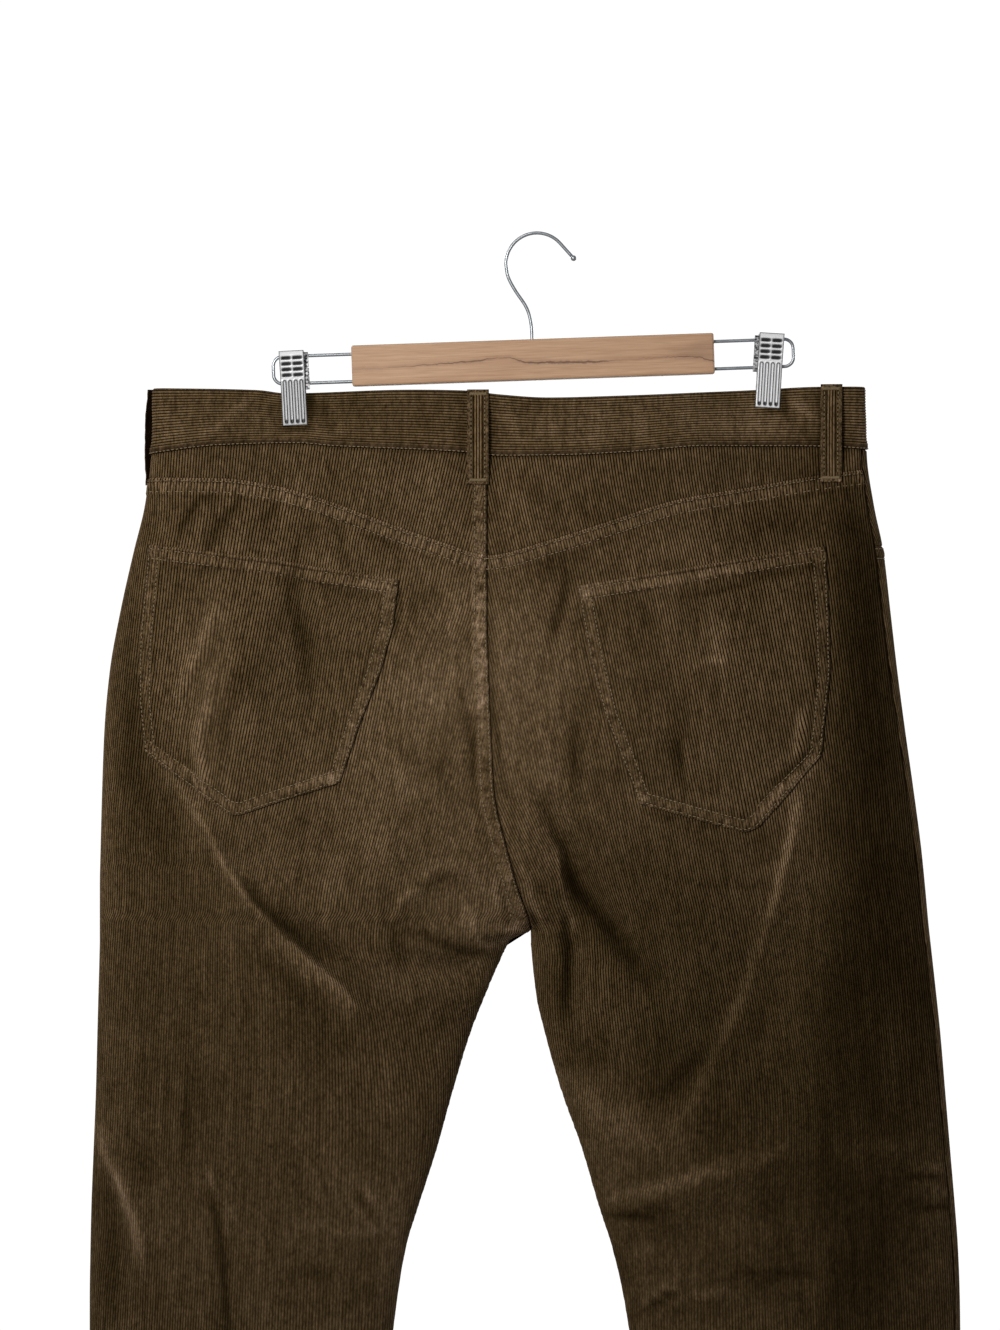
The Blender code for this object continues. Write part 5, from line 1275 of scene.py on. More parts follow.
def patch_base(name, half, face, steps):
    """The rows of a patch: its four sides, blended across it, on the panel's own surface."""
    sides = PATCH_SIDES[name]
    share = np.linspace(0, 1, PATCH_SAMPLES)[None, :, None]
    down = np.asarray(steps)[:, None, None]
    top, foot = [eased(sides[key], PATCH_SAMPLES)[None] for key in ("top", "foot")]
    places = np.asarray(steps) * (SIDE_SAMPLES - 1)
    outer, inner = [at_places(places, np.arange(SIDE_SAMPLES), eased(sides[key], SIDE_SAMPLES))[:, None]
                    for key in ("outer", "inner")]
    corners = ((1 - share) * (1 - down) * top[:, :1] + share * (1 - down) * top[:, -1:]
               + (1 - share) * down * foot[:, :1] + share * down * foot[:, -1:])
    grid = (1 - down) * top + down * foot + (1 - share) * outer + share * inner - corners
    x, drops = grid[..., 0], grid[..., 1]
    points, normals = on_face(half, face, x, drops)
    under = points + normals * PATCH_UNDERSIDE
    across = girth(points)
    middle = float(np.mean(x[:, PATCH_SAMPLES // 2]))
    for i in range(len(x)):
        order = np.argsort(x[i])
        across[i] -= np.interp(middle, x[i][order], across[i][order])
    return {"half": half, "face": face, "drops": drops, "points": points + normals * POCKET_LIFT,
            "normals": normals, "across": across, "under": under}


def patch_piece(name, half, face, seams, material, rows, gape, tone):
    height = max(p[1] for p in PATCH_SIDES[name]["foot"]) - PATCH_SIDES[name]["top"][0][1]
    ends = np.array(PATCH_STEPS) / height
    steps = np.concatenate([ends, np.linspace(ends[-1], 1 - ends[-1], rows)[1:-1], 1 - ends[::-1]])
    base = patch_base(name, half, face, steps)
    base["tone"] = tone
    piece = Cloth(name + "_cloth")
    outer = lay_cloth(piece, base, seams, len(steps) // 2, gape)
    add_inner(piece, base, lambda at: base["under"][:, at].copy(), outer)
    return base, piece.build(material, name)


# ---------------------------------------------------------------- waistband
BAND_STEP = 2.4
BAND_END_STEP = 0.6
BAND_EDGE = 0.5
BAND_PROUD = 0.25               # how far the waistband stands over the panels that it holds
BAND_FOOT_PROUD = 0.75
BAND_PRESS = 0.15
BAND_HEIGHT = 40.0
BAND_LEVEL = 120                # the drop at which places round the waist are measured
BAND_SAMPLES = 260              # along each quarter of the waist
BAND_START = ((0.0, 0.5), (0.35, 0.7), (0.9, 0.8))      # plain rows above the wales: place, pile
BAND_WALES_FROM = 1.4
BAND_END = ((BAND_HEIGHT - 0.5, 0.5), (BAND_HEIGHT, 0.5))
BAND_WAVE = 0.35
BAND_STITCH = 2.5               # its stitch row, from the foot
BAND_STITCH_LIFT = 1.1
STRIP_INNER_TONE = 0.65         # of the wrong side of the waistband and the belt loops


def band_base():
    """Stations round the waist, from the under end at the front, round the back, to the over end."""
    runs = []
    for half, face in (("right", "front"), ("right", "back"), ("left", "back"), ("left", "front")):
        fold, inner = float(body(half + "_fold", BAND_LEVEL)), float(inner_edge(half, face, BAND_LEVEL))
        end = inner if face == "back" else BAND_LAP[half == "left"]
        u = (1 - np.cos(np.linspace(0, math.pi / 2, BAND_SAMPLES))) * ((end - fold) / (inner - fold))
        if (half, face) in (("right", "front"), ("left", "back")):
            u = u[::-1]
        runs.append((half, face, u if not runs else u[1:]))
    return runs


def band_surface(runs, heights, inset):
    """Points of the waistband at the given shares of its height."""
    parts = []
    for half, face, u in runs:
        fold, inner = body(half + "_fold", BAND_LEVEL), inner_edge(half, face, BAND_LEVEL)
        x = fold + (inner - fold) * u
        top, bottom = line_drop(BAND_TOP[face], x), line_drop(BAND_BOTTOM[face], x) - SEAM_GAP
        drops = top + (bottom - top) * heights[:, None]
        points = cloth_point(half, face, np.broadcast_to(u, drops.shape), drops, inset)
        if face == "front" and half == "right":
            points[..., 1] -= BAND_LAP_STEP * (1 - smoothstep(*BAND_LAP_FADE, points[..., 0]))
        parts.append(points)
    return np.concatenate(parts, axis=1)


def waistband(material):
    """The waistband, its wales along it, stitched along its foot and at its two ends."""
    runs = band_base()
    wales = int((BAND_HEIGHT - 2 * BAND_EDGE - 1) // PITCH)
    rows, raised, crown_share = wale_rows(BAND_START, BAND_WALES_FROM, wales, BAND_END)
    heights = rows / BAND_HEIGHT
    dense = band_surface(runs, heights, 0.0)
    inner = band_surface(runs, heights, BAND_CLOTH)
    length = run_length(dense[len(rows) // 2])
    stations = np.linspace(0, length[-1], int(length[-1] / BAND_STEP))
    ends = (0, BAND_END_STEP)
    stations = np.concatenate([ends, stations[1:-1], np.subtract(length[-1], ends[::-1])])
    points, inside = [np.stack([at_places(stations, length, row) for row in grid]) for grid in (dense, inner)]
    normals = unit(points - inside)
    top_distance = rows[:, None] + 0 * stations
    foot_distance = BAND_HEIGHT - top_distance
    wave = np.broadcast_to(stations, top_distance.shape)
    lift, press, crush, pale = seam_lift("band_foot", foot_distance, wave, 1.1)
    rise = seam_lift("turned", top_distance, wave, 0.0)[0]
    ends = np.minimum(stations, stations[-1] - stations)[None, :] + 0 * top_distance
    end_rise, end_press = seam_lift("scoop", ends, top_distance, 0.0)[:2]
    lift = lift + rise + end_rise * 0.6 + BAND_PROUD + BAND_FOOT_PROUD * (1 - smoothstep(0, 9, foot_distance))
    press = np.maximum(press, end_press)
    lift = lift + (STITCH_PRESS - BAND_PRESS) * press
    lift = lift + raised[:, None] * (1 - PRESSED * press)
    lift = lift + BAND_WAVE * uneven(wave + 0.5 * top_distance, 31.0, 2.0) * np.sin(np.pi * heights)[:, None]
    shade = np.repeat(wale_tones(np.arange(wales)), len(WALE_COLUMNS))
    shade = np.pad(shade, (len(BAND_START), len(BAND_END)))[:, None]
    tone = BAND_TONE * (1 + shade) * (1 + 0.07 * uneven(wave, 60.0, 0.4)) * (1 + pale)
    tone = tone * (1 + 0.25 * (1 - smoothstep(0, 2.5, top_distance)))
    # the panels' painted light and shade, carried onto the waistband
    tone = tone * np.where(points[..., 1] < 0, *[cloth_shade(face, points[..., 0], -points[..., 2])
                                                 for face in ("back", "front")])
    piece = Cloth("waistband_cloth")
    share = np.broadcast_to(stations / stations[-1], top_distance.shape)
    index = piece.add_points(points + normals * lift[..., None], share, heights[:, None],
                             crown_share[:, None] * (1 - PILE_PRESSED * press), tone, crush, wave, foot_distance,
                             BAND_BLOOM)
    piece.add_grid(index, Cloth.OUTER)
    some = np.unique(np.concatenate([np.arange(0, len(rows), 4), [len(rows) - 1]]))
    index_in = piece.add_points(inside[some], share[some], heights[some][:, None], tone=STRIP_INNER_TONE)
    piece.add_grid(index_in, Cloth.INNER)
    piece.close(index, index_in)
    return {"points": points, "normals": normals, "rows": rows}, piece.build(material, "waistband")


# ---------------------------------------------------------------- belt loops
LOOP_ROWS_ALONG = 44
LOOP_WALES = 7
LOOP_EDGE_ROWS = ((0, 0.5), (0.25, 0.6), (0.7, 0.7))    # plain rows in from each side: place, pile
LOOP_TACK = (2.4, 4.2)          # a tack's hold fades between these distances from the loop's end
LOOP_INNER_EDGE = 0.15
LOOP_PRESS = 0.35               # depths of its stitch rows,
LOOP_ROLL = 1.1                 # of its turned edges,
LOOP_TACK_SINK = 0.5            # of its tacked ends
LOOP_TROUGH = 0.35              # and of its two troughs
LOOP_SWELL = 0.55               # height of the ridge between them
LOOP_WAVE = 0.22
LOOP_SHADES = (0.34, 0.6, 0.3, 0.1)     # worn ridges, painted shade in the troughs, pale tacks and a wandering shade
LOOP_STITCH = 2.6
LOOP_CHANNEL = 3.7              # from the loop's middle to each of the two troughs along it


def loop_axes(half, face, distance, top, bottom):
    """A loop's middle point, its direction across the garment and the direction it stands off in."""
    fold, inner = float(body(half + "_fold", top)), float(inner_edge(half, face, top))
    width = abs(inner - fold)
    near, centre, far = [cloth_point(half, face, (distance + step) / width, (top + bottom) / 2)
                         for step in (-2.0, 0.0, 2.0)]
    across = unit((far - near) * (1, 1, 0))
    out = np.array([across[1], -across[0], 0.0])
    if out[1] * OUTWARD[face] < 0:
        out = -out
    return centre, across, out, distance / width


def belt_loop(name, half, face, distance, top, bottom, material, thread):
    """A sewn strip of corduroy, its wales along it, that stands off between its two tacked ends."""
    centre, across, out, u = loop_axes(half, face, distance, top, bottom)
    share = np.linspace(0, 1, LOOP_ROWS_ALONG)
    drop = top + (bottom - top) * share
    seat = cloth_point(half, face, np.full(share.shape, u), drop)
    lean = ((seat - centre) * np.array([1.0, 1.0, 0.0])).dot(out)
    spine = centre + out * (lean + line_drop(LOOP_STANDOFF, share))[:, None]
    spine[:, 2] = -drop
    half_width = LOOP_WIDTH / 2
    start = [(-half_width + step, pile) for step, pile in LOOP_EDGE_ROWS]
    end = [(-place, pile) for place, pile in start[::-1]]
    places, raised, crown_share = wale_rows(start, -LOOP_WALES * PITCH / 2, LOOP_WALES, end)
    edge = half_width - np.abs(places)
    press = bell(edge - LOOP_STITCH, 0.6)
    ends = np.minimum(share, 1 - share) * (bottom - top)
    tack = (1 - smoothstep(*LOOP_TACK, ends))[:, None]
    pressed = np.maximum(press[None, :], 0.8 * tack)
    lift = raised * (1 - PRESSED * pressed) - LOOP_PRESS * press
    lift = lift - LOOP_ROLL * (1 - smoothstep(-0.1, 1.5, edge)) ** TURN_POWER
    lift = lift - LOOP_TACK_SINK * tack * (np.abs(places) < half_width - 1)
    wave = uneven(drop[:, None] + 0 * places, 7.0, distance)
    lift = lift + LOOP_WAVE * wave * (1 - smoothstep(0, 4, edge))
    channel = bell(np.abs(places) - LOOP_CHANNEL, 1.1)[None, :]
    ridge = bell(places, 1.5)[None, :] + (1 - smoothstep(0.2, 1.8, edge))[None, :]
    lift = lift + (LOOP_SWELL * bell(places, 2.0)[None, :] - LOOP_TROUGH * channel) * (1 - tack)
    points = spine[:, None] + across * places[None, :, None] + out * (LOOP_CLOTH + lift)[..., None]
    wander = uneven(drop[:, None] + 2 * places, 9.0, distance)
    worn_ridge, dark_channel, pale_tack, wandering = LOOP_SHADES
    # the troughs are painted dark as shade
    tone = LOOP_TONE * (1 + worn_ridge * ridge - dark_channel * channel * (1 - tack) + pale_tack * tack
                        + wandering * wander)
    piece = Cloth(name + "_cloth")
    across_share = (places + half_width) / LOOP_WIDTH
    crush = np.maximum(0.7 * (1 - smoothstep(2.4, 3.6, edge))[None, :], 0.8 * tack)
    pile = crown_share * (1 - PILE_PRESSED * pressed)
    index = piece.add_points(points, across_share[None, :], share[:, None], pile, tone, crush, drop[:, None],
                             edge[None, :])
    piece.add_grid(index, Cloth.OUTER)
    sides = np.array([-half_width + LOOP_INNER_EDGE, half_width - LOOP_INNER_EDGE])
    under = spine[:, None] + across * sides[None, :, None]
    index_in = piece.add_points(under, np.array([0.0, 1.0])[None, :], share[:, None], tone=STRIP_INNER_TONE)
    piece.add_grid(index_in, Cloth.INNER)
    piece.close(index, index_in)
    for side in (-1, 1):
        line = spine + across * side * (half_width - LOOP_STITCH) + out * (LOOP_CLOTH - 0.25)
        thread.run(line[3:-3], np.broadcast_to(out, line[3:-3].shape))
    for end in (2, -3):
        middle = spine[end] + out * (LOOP_CLOTH - 0.15)
        thread.bar_tack(middle, across, out, LOOP_WIDTH - 3.4, 2.2)
    return piece.build(material, name)


# ---------------------------------------------------------------- stitches
STITCH_PITCH = 2.8
STITCH_LENGTH = 2.25
THREAD_RADIUS = 0.32
# A stitch's rings: place along it, thickness and height.
THREAD_RINGS = ((-0.5, 0.35, -0.34), (-0.26, 1.0, 0.06), (0.26, 1.0, 0.06), (0.5, 0.35, -0.34))
THREAD_SIDES = 5
THREAD_SEED = 11
THREAD_SKEW = 0.07
THREAD_DRIFT = 0.12
TACK_PITCH = 0.62
TACK_RADIUS = 0.3
THREAD_LIFT = 0.34              # the thread's height over the trench that it pulls
THREAD_SUNK = (-0.04, 0.42)     # and how far the pile takes in single stitches
SEAM_END_GAP = 1.0              # a stitch row keeps this far from the edges that it runs up to


class Thread:
    """Stitches, collected into one mesh. Each is a short rod whose two ends dive into the cloth."""

    def __init__(self):
        self.points, self.faces, self.count = [], [], 0
        self.rng = np.random.default_rng(THREAD_SEED)

    def stitch(self, place, along, normal, length=STITCH_LENGTH, radius=THREAD_RADIUS, sunk=0.0):
        along = unit(along)
        normal = unit(normal - along * normal.dot(along))
        side = np.cross(along, normal)
        along = along + side * self.rng.uniform(-THREAD_SKEW, THREAD_SKEW)
        angles = np.arange(THREAD_SIDES) * TAU / THREAD_SIDES
        ring = np.cos(angles)[:, None] * side + np.sin(angles)[:, None] * normal
        for share, size, height in THREAD_RINGS:
            middle = place + along * share * length + normal * (height - sunk)
            self.points.append(middle + ring * radius * size)
        start, last = self.count, self.count + (len(THREAD_RINGS) - 1) * THREAD_SIDES
        self.faces += [(a, d, c, b) for a, b, c, d in ring_faces(len(THREAD_RINGS), THREAD_SIDES, start)]
        self.faces.append(tuple(range(start, start + THREAD_SIDES))[::-1])
        self.faces.append(tuple(range(last, last + THREAD_SIDES)))
        self.count = last + THREAD_SIDES

    def run(self, line, normals, pitch=STITCH_PITCH):
        """A row of stitches along a line that lies on the cloth."""
        line, normals = np.asarray(line), np.asarray(normals)
        length = run_length(line)
        if length[-1] < pitch:
            return
        places = np.arange(pitch / 2, length[-1], pitch)
        for place in places + self.rng.uniform(-THREAD_DRIFT, THREAD_DRIFT, len(places)):
            here, ahead = at_places(place + np.array([-0.5, 0.5]), length, line)
            if np.linalg.norm(ahead - here) < 1e-6:
                continue
            normal = at_places(place, length, normals)
            self.stitch((here + ahead) / 2, ahead - here, normal, sunk=self.rng.uniform(*THREAD_SUNK))

    def bar_tack(self, middle, across, normal, width, height):
        """A dense bar of upright stitches side by side."""
        up = np.cross(normal, across)
        count = int(width / TACK_PITCH)
        for k in range(count):
            shift = (k + 0.5) / count - 0.5
            self.stitch(middle + across * shift * width, up + across * 0.12, normal, height, TACK_RADIUS)

    def build(self, name, material):
        mesh = bpy.data.meshes.new(name)
        mesh.from_pydata((np.vstack(self.points) * MM).tolist(), [], self.faces)
        add_piece(mesh, material)


def line_beside(base, side, distance):
    """The line at a distance from one edge of a base surface, with its normals."""
    across, drops, slope = base["across"], base["drops"], base["slopes"][side]
    first = side in ("outer", "top")
    if side in ("outer", "inner"):
        place = across[:, 0 if first else -1] + distance * slope * (1 if first else -1)
        return [np.stack([at_places(*row) for row in zip(place, across, base[name])])
                for name in ("points", "normals")]
    place = drops[0 if first else -1] + distance * slope * (1 if first else -1)
    return [np.stack([at_places(place[j], drops[:, j], base[name][:, j]) for j in range(across.shape[1])])
            for name in ("points", "normals")]


def sew(thread, base, seams):
    """Stitch rows beside the sewn edges of a piece, down in the trench that they pull."""
    edges = {"top": np.s_[0], "foot": np.s_[-1], "outer": np.s_[:, 0], "inner": np.s_[:, -1]}
    for side, form, span, _ in seams:
        seam = dict(zip(SEAM_COLUMNS, SEAM_FORMS[form]))
        crossed = ("outer", "inner") if side in ("top", "foot") else ("top", "foot")
        for distance in seam["rows"]:
            points, normals = line_beside(base, side, distance)
            normals = unit(normals)
            keep = np.ones(len(points), bool)
            if span is not None:
                keep = (-points[:, 2] > span[0]) & (-points[:, 2] < span[1])
            for end in crossed:
                corner = base["points"][edges[end]]
                keep &= np.linalg.norm(points[:, None] - corner[None, ::4], axis=-1).min(1) > SEAM_END_GAP
            if keep.sum() > 2:
                height = seam["height"] - STITCH_PRESS + THREAD_LIFT
                thread.run((points + normals * height)[keep], normals[keep])


# ---------------------------------------------------------------- button
BUTTON_PLACE = (9.0, 130.0)     # x, drop
BUTTON_RADIUS = 8.5
BUTTON_THICK = 2.6
BUTTON_BASE = 0.6
BUTTON_DISH = 1.0
BUTTON_DISH_EDGE = (5.0, 6.3)
BUTTON_ROUND = (0.9, 1.3)       # how far the rim rounds down, and in
BUTTON_RINGS, BUTTON_SIDES = 26, 64
BUTTON_THREAD = 0.33
HOLE_SINK = 1.1
BUTTONHOLE_REACH = 13.5         # half its length
BUTTONHOLE_HIDDEN = 7.0         # half of what the button covers
HOLE_OFFSET = 1.75
HOLE_RADIUS = 0.95


def waist_button(material, thread):
    """A turned four-hole button: rounded rim, dished middle, and thread through its holes."""
    x, drop = BUTTON_PLACE
    fold, inner = body("left_fold", drop), inner_edge("left", "front", drop)
    seat = cloth_point("left", "front", (x - fold) / (inner - fold), drop)
    sides = BUTTON_SIDES
    angle = np.arange(sides) * TAU / sides
    radii = BUTTON_RADIUS * np.sin(np.linspace(0.02, 1, BUTTON_RINGS) * math.pi / 2)
    r, a = np.meshgrid(radii, angle, indexing="ij")
    height = BUTTON_THICK - BUTTON_DISH * (1 - smoothstep(*BUTTON_DISH_EDGE, r))
    height = height - BUTTON_ROUND[0] * (1 - quarter_round((BUTTON_RADIUS - r) / BUTTON_ROUND[1]))
    px, pz = r * np.cos(a), r * np.sin(a)
    for dx in (-1, 1):
        for dz in (-1, 1):
            far = np.hypot(px - dx * HOLE_OFFSET, pz - dz * HOLE_OFFSET)
            height = height - HOLE_SINK * (1 - smoothstep(HOLE_RADIUS * 0.7, HOLE_RADIUS * 1.25, far))
    top = np.stack([seat[0] + px, seat[1] + BUTTON_BASE + height, seat[2] + pz], axis=-1)
    foot_r = np.stack([radii[-1] * np.ones(sides), 0.8 * radii[-1] * np.ones(sides)])
    foot_h = np.array([[0.5], [0.0]]) + 0 * foot_r
    foot = np.stack([seat[0] + foot_r * np.cos(angle), seat[1] + BUTTON_BASE + foot_h,
                     seat[2] + foot_r * np.sin(angle)], axis=-1)
    grid = np.concatenate([top, foot])
    points = [seat + np.array([0, BUTTON_BASE + BUTTON_THICK - BUTTON_DISH, 0])] + list(grid.reshape(-1, 3))
    last = 1 + (len(grid) - 1) * sides
    faces = [(0, 1 + s, 1 + (s + 1) % sides) for s in range(sides)] + ring_faces(len(grid), sides, 1)
    faces.append(tuple(range(last, last + sides)))
    plain_mesh("button", np.array(points), faces, material, "waist_button")
    out = np.array([0.0, 1.0, 0.0])
    for dz in (-1, 1):
        for shift in (-0.3, 0.3):
            place = seat + np.array([0, BUTTON_BASE + BUTTON_THICK - 0.9, dz * HOLE_OFFSET + shift])
            thread.stitch(place, np.array([1.0, 0, 0]), out, 2 * HOLE_OFFSET, BUTTON_THREAD)


def buttonhole(thread):
    """The bound buttonhole that shows on both sides of the button."""
    x, drop = BUTTON_PLACE
    places = np.linspace(-BUTTONHOLE_REACH, BUTTONHOLE_REACH, 44)
    for side in (-1, 1):
        px, pd = x + places - 2, drop + side * 1.1 + 0 * places
        points, normals = on_face("left", "front", np.minimum(px, BAND_LAP[1] - 2), pd)
        for point, normal, place in zip(points, normals, places):
            if abs(place) > BUTTONHOLE_HIDDEN:
                thread.stitch(point + normal * 0.25, np.array([0.1, 0, 1.0]), normal, 1.7, 0.26)


# ---------------------------------------------------------------- hanger
WIRE_RADIUS = 1.1
WIRE_SIDES = 16
HOOK_RADIUS = 20.0
HOOK_TAIL = 11.0
HOOK_TAIL_ANGLE = 42.0
HOOK_STEM = ((-3.2, 80.0), (-3.2, 67.0), (-4.0, 56.0), (-7.0, 46.5), (-14.2, 35.6), (-18.6, 27.0))
HOOK_TIP_RADIUS = 1.9
BAR_CENTRE = (-2.6, 80.5)       # x, drop
BAR_LENGTH = 233.0
BAR_TILT = 2.0
HOLE_DEPTH = 14.0
HOLE_CLEARANCE = 0.3
LOOP_WIRE_MIDDLE = -1.1
LOOP_WIRE_SPREAD = 17.6
LOOP_WIRE_ENDS = (-167.0, 167.5)
LOOP_WIRE_CORNER = 6.0
LOOP_WIRE_STEPS = 24
CLIP_WIDTH = 16.0
CLIP_HALF_HEIGHT = 24.0
CLIP_PLATE = 1.0
CLIP_EDGE = 0.12
CLIP_JAW_Y = 2.85
CLIP_BEND_Z = 6.5
CLIP_FLARE_Y = 8.0
CLIP_GROOVES = (-5.4, -1.8, 1.8, 5.4)
CLIP_GROOVE_Z = (-22.4, 5.2)
GROOVE_DEPTH = 0.5
GROOVE_REACH = 0.85
GROOVE_END = 0.9                # radius of its round ends
GROOVE_RIM = 0.14
DIMPLE_SIZE = (3.2, 1.2)
DIMPLE_DEPTH = 0.6
DIMPLE_RIM = 0.12
CLIP_ROUND = (0.5, 0.7)         # how far the plate's edge rounds back, and in
CLIP_PAINTED_LIGHT = {"left": 0.62, "right": 1.0}      # painted light on each clip's flat jaw
LEVER_PAINTED_LIGHT = 1.12              # and on the lever above it, which bulges up to the light
CLIP_DIMPLE_X = (-3.6, 3.6)
CLIP_DIMPLE_Z = (8.5, 12.1, 15.7, 19.4)


def tube(name, route, radii, material, replaces, transform=None):
    """A round wire along a route in the garment's middle plane, as (x, z)."""
    route = np.asarray(route, float)
    points3 = np.stack([route[:, 0], 0 * route[:, 0], route[:, 1]], axis=-1)
    along = np.gradient(points3, axis=0)
    along /= np.maximum(np.linalg.norm(along, axis=1, keepdims=True), 1e-9)
    side = np.cross(along, [0.0, 1.0, 0.0])
    angle = np.arange(WIRE_SIDES) * TAU / WIRE_SIDES
    ring = np.cos(angle)[None, :, None] * side[:, None] + np.sin(angle)[None, :, None] * np.array([0, 1.0, 0])
    grid = points3[:, None] + ring * np.asarray(radii)[:, None, None]
    if transform is not None:
        grid = placed(grid, transform)
    last = (len(route) - 1) * WIRE_SIDES
    ends = [tuple(range(WIRE_SIDES))[::-1], tuple(range(last, last + WIRE_SIDES))]
    faces = ends[:1] + ring_faces(len(route), WIRE_SIDES) + ends[1:]
    plain_mesh(name, grid.reshape(-1, 3), faces, material, replaces)


def placed(points, transform):
    """Points in millimetres, moved by a transform in metres."""
    return points @ np.array(transform.to_3x3()).T + np.array(transform.translation) / MM


def hook(material):
    centre_z = WIRE_RADIUS - HOOK_RADIUS
    angles = np.radians(np.linspace(180.0, HOOK_TAIL_ANGLE, 40))
    bend = np.stack([HOOK_RADIUS * np.cos(angles), centre_z + HOOK_RADIUS * np.sin(angles)], axis=-1)
    stem = [(x, -drop) for x, drop in HOOK_STEM]
    lead_in = path_through(stem + [tuple(bend[0])], 8)
    turn = math.radians(HOOK_TAIL_ANGLE)
    ahead = np.array([math.sin(turn), -math.cos(turn)])
    tail = bend[-1] + ahead * HOOK_TAIL * np.linspace(0.1, 1.0, 8)[:, None]
    ball_angles = np.radians(np.arange(30, 180, 12))
    ball = tail[-1] + ahead * (HOOK_TIP_RADIUS * (1 - np.cos(ball_angles)))[:, None]
    route = np.concatenate([lead_in, bend[1:], tail, ball])
    radii = np.append(np.full(len(route) - len(ball), WIRE_RADIUS), HOOK_TIP_RADIUS * np.sin(ball_angles))
    tube("hook_wire", route, radii, material, "hanger_hook")


def bar_frame():
    return (Matrix.Translation((BAR_CENTRE[0] * MM, 0, -BAR_CENTRE[1] * MM))
            @ Matrix.Rotation(math.radians(-BAR_TILT), 4, "Y"))


def wire_loop(side, material):
    sign = -1 if side == "left" else 1
    end = LOOP_WIRE_ENDS[sign > 0]
    root = sign * (BAR_LENGTH / 2 - HOLE_DEPTH + HOLE_CLEARANCE)
    half = LOOP_WIRE_SPREAD / 2
    run = np.linspace(root, end - sign * (LOOP_WIRE_CORNER + 1), LOOP_WIRE_STEPS)
    route = [(x, LOOP_WIRE_MIDDLE + half) for x in run]
    for vertical in (1, -1):
        corner = (end - sign * LOOP_WIRE_CORNER, LOOP_WIRE_MIDDLE + vertical * (half - LOOP_WIRE_CORNER))
        for degrees in range(0, 91, 9):
            angle = math.radians(degrees)
            along, up = (math.sin(angle), math.cos(angle))[::vertical]
            route.append((corner[0] + sign * LOOP_WIRE_CORNER * along,
                          corner[1] + vertical * LOOP_WIRE_CORNER * up))
    route += [(x, LOOP_WIRE_MIDDLE - half) for x in run[::-1]]
    tube(f"wire_loop_{side}", route, np.full(len(route), WIRE_RADIUS), material, f"hanger_wire_{side}",
         bar_frame())


